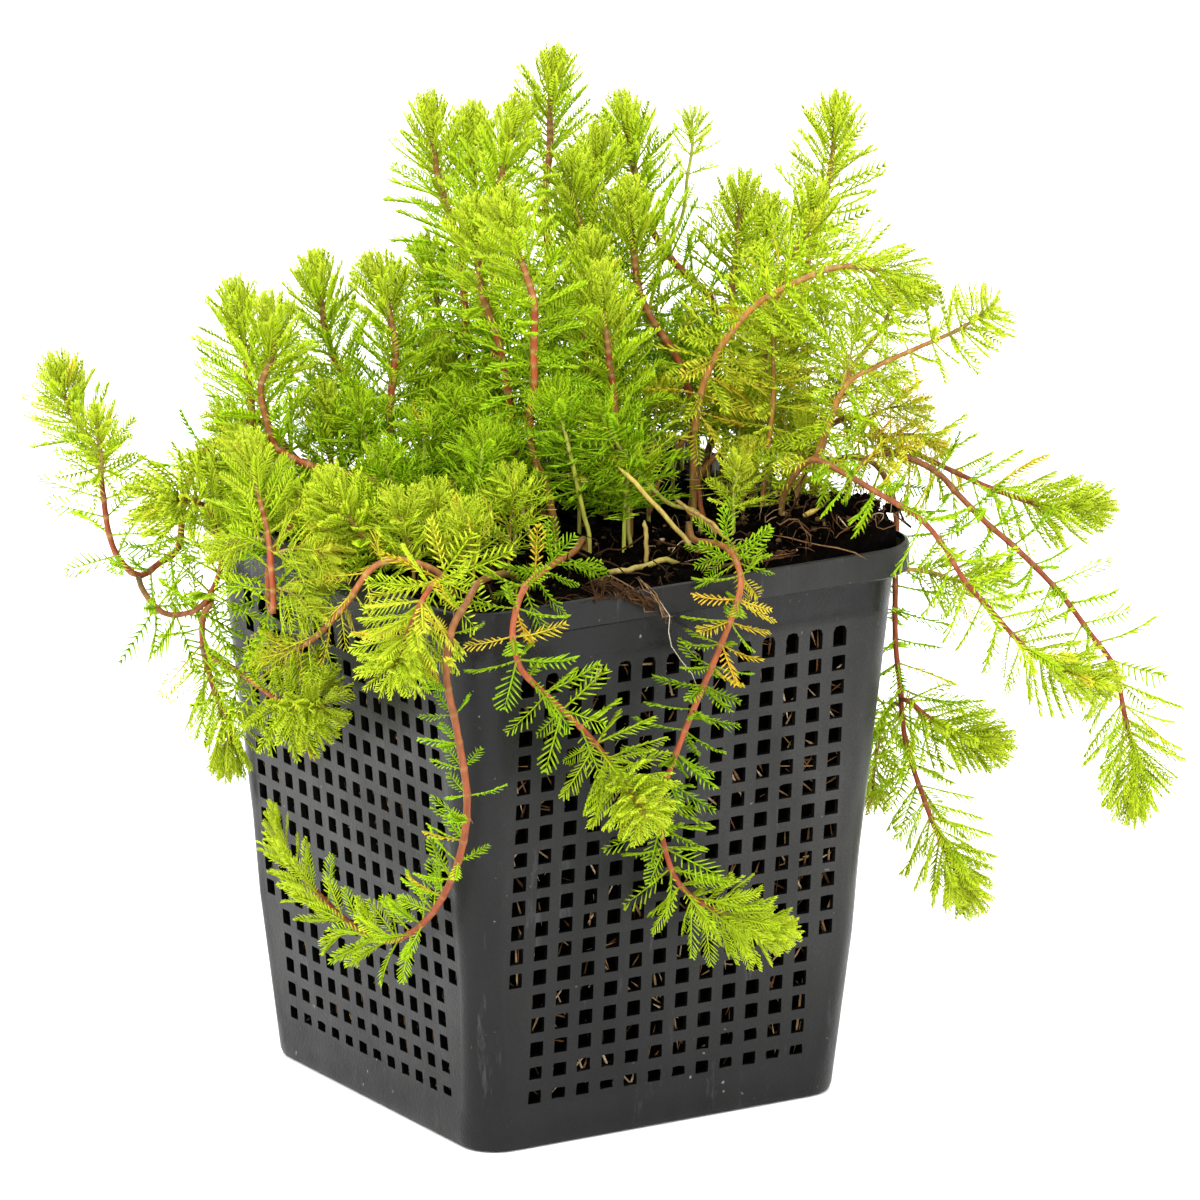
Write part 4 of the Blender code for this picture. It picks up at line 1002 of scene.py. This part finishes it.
# Patches of wilted leaves, and of golden ones that aren't dead: middle as (across, height,
# near), and spread.
WILTED_PATCHES = (((-14, 118, 68), 6.0), ((-43, 120, 50), 7.0), ((29, 138, 10), 7.0), ((34, 112, 51), 7.0),
                  ((-20, 116, 74), 5.0), ((66, 129, -8), 8.0), ((56, 131, 18), 6.0))
GOLDEN_PATCHES = (((28, 151, -8), 9.0), ((36, 144, -4), 9.0), ((29, 134, -2), 7.0), ((62, 130, -4), 8.0))


# Leaves


def leaf_template(pairs, petiole, angles, reach, cup, half_width, seed):
    """One feather leaf of unit length: middle points, thickness offsets and triangles.

    A point is middle + thickness * offset.  The first number of each runs along the leaf,
    the second across it and the third above it.  The midrib is a closed tapering tube, and
    every leaflet is a closed four-faced bar.
    """
    draw = np.random.default_rng(seed)
    middles, offsets, triangles = [], [], []

    def close(start, faces):
        """Add a closed part's faces, turned outward."""
        points = np.array(middles[start:]) * USUAL_LEAF + np.array(offsets[start:])
        points -= points.mean(axis=0)
        volume = sum(np.dot(points[a], np.cross(points[b], points[c])) for a, b, c in faces)
        for face in faces:
            triangles.append([start + corner for corner in (face if volume > 0 else face[::-1])])

    for along, radius in ((0.0, 0.26), (0.35, 0.19), (0.75, 0.14)):
        for k in range(3):
            angle = TURN * k / 3 + math.pi / 2
            middles.append((along, 0.0, 0.0))
            offsets.append((0.0, radius * math.cos(angle), radius * math.sin(angle)))
    middles.append((0.97, 0.0, 0.0))
    offsets.append((0.0, 0.0, 0.0))
    faces = [(0, 1, 2), (6, 9, 7), (7, 9, 8), (8, 9, 6)]
    for a, b in ((0, 1), (1, 2), (2, 0), (3, 4), (4, 5), (5, 3)):
        faces += [(a, a + 3, b), (b, a + 3, b + 3)]
    close(0, faces)

    def leaflet(along, direction, length, width):
        """A slim four-faced bar whose end edge is turned against its foot edge."""
        start = len(middles)
        direction = np.array(direction) / np.linalg.norm(direction)
        flat = np.cross((0.0, 0.0, 1.0), direction)
        flat /= np.linalg.norm(flat)
        upward = np.cross(direction, flat)
        base = np.array((along, 0.0, 0.0))
        for share, edge, slim in ((0.0, flat + upward, 1.0), (0.0, -flat - upward, 1.0),
                                  (1.0, flat - upward, 0.75), (1.0, upward - flat, 0.75)):
            middles.append(base + direction * length * share)
            offsets.append(edge * width * slim * math.sqrt(0.5))
        close(start, [(0, 1, 2), (0, 3, 1), (0, 2, 3), (1, 3, 2)])

    for share in np.arange(pairs) / (pairs - 1):
        along = petiole + (0.95 - petiole) * share
        envelope = np.interp(share, (0, 0.25, 0.6, 0.85, 1), (0.5, 0.85, 1.0, 0.72, 0.4))
        for sign in (1.0, -1.0):
            angle = math.radians(angles[0] + (angles[1] - angles[0]) * share + draw.normal(0, 4))
            length = reach * envelope * draw.uniform(0.86, 1.12)
            rise = cup + draw.normal(0, 0.08)
            leaflet(along + draw.normal(0, 0.008),
                    (math.cos(angle), sign * math.sin(angle), rise),
                    length, half_width * draw.uniform(0.85, 1.15))
    leaflet(0.93, (1.0, draw.normal(0, 0.05), 0.0), 0.08, half_width)
    return np.array(middles), np.array(offsets), np.array(triangles)


def leaf_set(count, *shape):
    return [leaf_template(*shape, seed) for seed in range(count)]


DENSE_LEAVES = leaf_set(5, 12, 0.18, (50, 29), 0.25, 0.28, 0.205)
YOUNG_LEAVES = leaf_set(4, 9, 0.10, (44, 24), 0.29, 0.30, 0.225)
OPEN_LEAVES = leaf_set(6, 8, 0.17, (56, 38), 0.29, 0.15, 0.26)
HAIR_LEAVES = leaf_set(8, 7, 0.16, (62, 40), 0.43, 0.12, 0.135)


def wave(points, patches):
    """How strongly each point lies in the patches, 0 to 1."""
    total = np.zeros(len(points))
    for middle, spread in patches:
        distance_squared = ((points - in_frame(*middle)) ** 2).sum(axis=1)
        total += np.exp(-distance_squared / (2 * spread ** 2))
    return np.clip(total, 0, 1)


def leaf_points(leaves, choose, template):
    """Points, growth values and triangles of the chosen leaves, all of one template."""
    middles, offsets, triangles = template
    picked = {key: value[choose] for key, value in leaves.items()}
    size = picked["size"][:, None]
    curve = picked["curve"][:, None] + 1e-4
    along = middles[None, :, 0]
    turned = curve * along
    forward = np.sin(turned) / curve * size
    rise = (1 - np.cos(turned)) / curve * size
    thickness = np.sqrt(size / USUAL_LEAF) * picked["wide"][:, None]
    ahead, across, above = (picked[key][:, None] for key in ("ahead", "across", "above"))
    ahead_here = np.cos(turned)[..., None] * ahead + np.sin(turned)[..., None] * above
    above_here = np.cos(turned)[..., None] * above - np.sin(turned)[..., None] * ahead
    side = middles[None, :, 1] * size * picked["broad"][:, None]
    lift = middles[None, :, 2] * size
    points = picked["root"][:, None] + forward[..., None] * ahead + rise[..., None] * above
    points += (side + thickness * offsets[None, :, 1])[..., None] * across
    points += (lift + thickness * offsets[None, :, 2])[..., None] * above_here
    points += (thickness * offsets[None, :, 0])[..., None] * ahead_here
    count, size_of_one = points.shape[:2]
    data = np.empty((count, size_of_one, 4))
    for channel, key in enumerate(("age", "wilt", "tone")):
        data[..., channel] = picked[key][:, None]
    data[..., 3] = along
    faces = triangles[None] + (np.arange(count) * size_of_one)[:, None, None]
    return points.reshape(-1, 3), [faces.reshape(-1, 3)], data.reshape(-1, 4), 0


# Shoots


def shoot_line(route):
    """Evenly spaced points along a shoot's smooth route; a rooted one starts in the soil."""
    points = []
    for place in route:
        if len(place) == 3:
            points.append(in_frame(*place))
            continue
        across, near = place
        level = soil_height(*in_frame(across, 0, near)[:2])
        points += [in_frame(across, level - ROOTED_DEPTH, near),
                   in_frame(across, level + ROOTED_RISE, near)]
    points = np.array(points)
    ends = np.vstack((2 * points[0] - points[1], points, 2 * points[-1] - points[-2]))
    t = np.linspace(0, 1, ROUTE_SAMPLES, endpoint=False)[:, None]
    fine = [0.5 * (2 * start + (end - before) * t
                   + (2 * before - 5 * start + 4 * end - after) * t ** 2
                   + (3 * start - before - 3 * end + after) * t ** 3)
            for before, start, end, after in zip(ends, ends[1:], ends[2:], ends[3:])]
    return evenly(np.vstack([*fine, points[-1:]]))


def carried_frames(line):
    """Tangent and two side directions at every point, carried along without twisting."""
    tangents = np.gradient(line, axis=0)
    tangents /= np.linalg.norm(tangents, axis=1)[:, None]
    side = np.cross(tangents[0], NEAR)
    sides = []
    for tangent in tangents:
        side = side - tangent * side.dot(tangent)
        side = side / np.linalg.norm(side)
        sides.append(side)
    return tangents, np.array(sides), np.cross(tangents, sides)


def inside_pot(points, margin):
    """True for points in the basket or the soil."""
    x, y, z = np.moveaxis(points, -1, 0)
    spread = np.maximum(np.abs(x), np.abs(y))
    in_soil = (spread < BODY_HALF_TOP) & (z < soil_height(x, y) + margin) & (z > 60)
    in_rim = (spread < RIM_HALF + margin) & (spread > 49) & (z < BASKET_HEIGHT + margin)
    in_rim &= z > RIM_FOOT - 0.6
    in_body = (spread < body_half(np.minimum(z, RIM_FOOT)) + margin) & (z <= RIM_FOOT)
    return in_soil | in_rim | in_body


def keep_out_of_pot(points):
    """Push points that reach just inside the basket's outside back out of it."""
    x, y, z = points.T
    spread = np.maximum(np.abs(x), np.abs(y))
    limit = outer_face(z, 0.3) + 0.15
    shallow = (spread < limit) & (spread > limit - 2.5) & (z < BASKET_HEIGHT)
    scale = np.where(shallow, limit / np.maximum(spread, 1.0), 1.0)
    along_x = np.abs(x) > np.abs(y)
    return np.column_stack([np.where(along_x, x * scale, x), np.where(along_x, y, y * scale), z])


def whorl_places(length, bare, look):
    """Distances below the tip of the whorls, from the tip down to the bare foot."""
    gaps = YOUNG_GAPS + (look["pitch"] * 0.85, look["pitch"])
    places, here = [], 0.5
    while here < length * (1 - bare):
        places.append(here)
        here += np.interp(here / look["bud"], WHORL_GAP, gaps) * rng.uniform(0.9, 1.1)
    return np.array(places)


def leaves_in_whorls(places, look):
    """Distance below the tip and angle round the stem of every leaf."""
    leaf_below, leaf_azimuth = [], []
    twist = rng.uniform(0, TURN)
    for below in places:
        mean = np.interp(below, (14 * look["bud"], 14 * look["bud"] + 16),
                         (look["crown"], look["few"]))
        count = max(2, round(mean + rng.normal(0, 0.5)))
        if below < 1.5:
            count = 4
        twist += math.pi / count + rng.normal(0, 0.2)
        for k in range(count):
            leaf_below.append(below + rng.normal(0, 0.12))
            leaf_azimuth.append(twist + TURN * k / count + rng.normal(0, 0.13))
    return np.clip(leaf_below, 0.1, None), np.array(leaf_azimuth)


def grow_leaves(line, even, frames, places, look):
    """Root, directions, size and curve of every leaf of a shoot."""
    below, azimuth = leaves_in_whorls(places, look)
    count = len(below)
    young = np.interp(below / look["bud"], *YOUNG_LENGTH)
    size = look["leaf"] * young * rng.uniform(0.86, 1.1, count)
    size *= 1 - 0.25 * np.clip((below - 40) / 60, 0, 1)
    rise = np.interp(below, *LEAF_RISE) * look["flare"] + rng.normal(0, 5, count)
    roots, tangents, sides, ups = (at_places(part, even, even[-1] - below)
                                   for part in (line, *frames))
    sag = look["sag"] * np.clip(below / 45, 0.05, 1) * rng.uniform(0.4, 1.5, count)
    curve = np.radians(rng.normal(18, 9, count) - 36 * np.clip((below - 6) / 34, 0, 1))
    if look["hair"]:
        rise += rng.normal(0, 11, count)
        curve += np.radians(rng.normal(0, 22, count))

    def facing(direction):
        """How far every leaf points in a direction."""
        return np.cos(azimuth) * (sides @ direction) + np.sin(azimuth) * (ups @ direction)

    if look["comb"]:
        flip = (facing(ACROSS) > 0.2) & (np.arange(count) % 5 > 0)
        azimuth = np.where(flip, azimuth + math.pi, azimuth)
    keep = ~((facing(NEAR) > 0.5) & (below > 11) & (rng.uniform(0, 1, count) < look["gap"]))
    for attempt in range(LEAF_TRIES):
        angle = np.radians(rise)[:, None]
        out = np.cos(azimuth)[:, None] * sides + np.sin(azimuth)[:, None] * ups
        ahead = np.cos(angle) * out + np.sin(angle) * tangents - sag[:, None] * UP
        ahead /= np.linalg.norm(ahead, axis=1)[:, None]
        probes = roots[:, None] + ahead[:, None] * size[:, None, None] * LEAF_PROBES[:, None]
        bad = inside_pot(probes, POT_CLEARANCE).any(axis=1)
        if not bad.any():
            break
        if attempt == LEAF_TRIES - 1:
            keep &= ~bad
        azimuth = np.where(bad, azimuth + (-1) ** attempt * 0.42 * (attempt + 1), azimuth)
        rise = np.where(bad, rise + 4, rise)
        size = np.where(bad, size * 0.95, size)
        sag = np.where(bad, sag * 0.5, sag)
    across = np.cross(tangents, out)
    across -= ahead * (across * ahead).sum(axis=1)[:, None]
    across /= np.linalg.norm(across, axis=1)[:, None]
    above = np.cross(ahead, across)
    roll = rng.uniform(-0.8, 0.8, count)[:, None]
    leaves = {"below": below, "root": roots + out * LEAF_ROOT, "ahead": ahead, "size": size,
              "across": np.cos(roll) * across + np.sin(roll) * above,
              "above": np.cos(roll) * above - np.sin(roll) * across, "curve": curve}
    return {key: value[keep] for key, value in leaves.items()}


def colour_leaves(leaves, look):
    """Age, wilting, tone and breadth of every leaf."""
    below, count = leaves["below"], len(leaves["below"])
    leaves["age"] = np.clip((below / DARKENED + 0.19 * look["hair"]) * look["fresh"]
                            + rng.normal(0, 0.08, count), 0, 1)
    patch = wave(leaves["root"], WILTED_PATCHES)
    golden = wave(leaves["root"], GOLDEN_PATCHES)
    chance = look["wilt"] + patch * 0.6 + golden * 0.12 + 0.05 * np.clip((below - 45) / 30, 0, 1)
    leaves["wilt"] = np.clip((chance > rng.uniform(0, 1, count)) * rng.uniform(0.55, 1.0, count)
                             + patch * 0.15 + golden * 0.42, 0, 1)
    leaves["tone"] = rng.uniform(0, 1, count) - look["shade"] * np.clip(below / 30, 0, 1)
    leaves["wide"] = rng.uniform(0.9, 1.15, count)
    leaves["broad"] = rng.uniform(0.8, 1.1, count)


def stem_tube(line, even, frames, places, look, corners):
    """The stem as a closed tube, swollen and paler at every whorl."""
    length = even[-1]
    nodes = length - places
    spots = [0.0, length, *nodes, *(nodes + 0.5), *(nodes - 0.55)]
    spots += [start for start in np.arange(0, length, 1.6) if np.abs(nodes - start).min() > 1.0]
    spots = np.array(sorted(spot for spot in set(spots) if 0 <= spot <= length))
    spots = spots[np.concatenate(([True], np.diff(spots) > 0.18))]
    gap = np.abs(spots[:, None] - nodes[None]).min(axis=1)
    joint = np.exp(-(gap / NODE_REACH) ** 2)
    below = length - spots
    radius = np.interp(below, *STEM_RADII) * look["thick"]
    radius *= 1 + NODE_SWELL * joint * np.clip(below / 12, 0.2, 1)
    middles, sides, ups = (at_places(part, even, spots) for part in (line, *frames[1:]))
    grid = np.arange(len(spots) * corners).reshape(-1, corners)
    data = np.empty((*grid.shape, 4))
    data[..., 0] = (below / max(length, 45.0))[:, None]
    data[..., 1] = (joint * np.interp(below, (0, 8, 60), (0.2, 1.0, 0.75)))[:, None]
    data[..., 2] = look["red"]
    data[..., 3] = rng.uniform()
    return (tube_points(middles, sides, ups, radius, corners),
            [ring_quads(grid).reshape(-1, 4), np.array([grid[0, ::-1], grid[-1]])],
            data.reshape(-1, 4), 1)


def grow_shoot(look, bare, route, corners=STEM_SIDES):
    """The mesh parts of one stem and its leaves."""
    line, even = shoot_line(route)
    frames = carried_frames(line)
    places = whorl_places(even[-1], bare, look)
    leaves = grow_leaves(line, even, frames, places, look)
    colour_leaves(leaves, look)
    below, count = leaves["below"], len(leaves["below"])
    is_young = (below < 4.5) & (not look["hair"])
    is_open = ~is_young & (below + rng.normal(0, 4, count) > look["open_from"])
    parts = [stem_tube(line, even, frames, places, look, corners)]
    for group, templates in ((is_young, YOUNG_LEAVES), (~is_young & ~is_open, DENSE_LEAVES),
                             (is_open, HAIR_LEAVES if look["hair"] else OPEN_LEAVES)):
        variant = rng.integers(len(templates), size=count)
        for number, template in enumerate(templates):
            choose = group & (variant == number)
            if choose.any():
                parts.append(leaf_points(leaves, choose, template))
    return parts


def build_shoot(name, look_name, bare, route, materials):
    """One piece: the shoot, the low sprigs that rise from its foot and its side sprigs."""
    parts = grow_shoot(LOOKS[look_name], bare, route)
    for sprig_look, across, near, height, lean_across, lean_near in FOOT_SPRIGS.get(name, ()):
        middle = (across + 0.35 * lean_across, SOIL_LEVEL + 0.55 * height,
                  near + 0.35 * lean_near)
        tip = (across + lean_across, SOIL_LEVEL + height, near + lean_near)
        sprig_bare = FLUFFY_BARE if sprig_look == "fluffy" else SPRIG_BARE
        parts += grow_shoot(LOOKS[sprig_look], sprig_bare, [(across, near), middle, tip],
                            SPRIG_SIDES)
    for sprig_look, sprig_route in SIDE_SPRIGS.get(name, ()):
        parts += grow_shoot(LOOKS[sprig_look], SIDE_SPRIG_BARE, sprig_route, SPRIG_SIDES)
    parts = [(keep_out_of_pot(points), *rest) for points, *rest in parts]
    piece = joined_piece(name + "_foliage", parts, materials)
    dress(piece, "yellowing_shoot" if look_name == "wilted" else "green_shoot", name)


def joined_routes():
    """Every route, with side branches begun inside the nearest other stem."""
    routes = {name: list(route) for name, (_, _, route) in SHOOTS.items()}
    lines = {name: shoot_line(route)[0] for name, route in routes.items()}
    for name, route in routes.items():
        if len(route[0]) == 3:
            others = np.vstack([line for other, line in lines.items() if other != name])
            nearest = others[((others - lines[name][0]) ** 2).sum(axis=1).argmin()]
            route.insert(0, (nearest @ ACROSS, nearest[2], nearest @ NEAR))
    return routes


def build_shoots():
    materials = [leaf_material(), stem_material()]
    routes = joined_routes()
    for name, (look_name, bare, _) in SHOOTS.items():
        build_shoot(name, look_name, bare, routes[name], materials)


build_stage()
build_basket()
build_soil()
build_shoots()
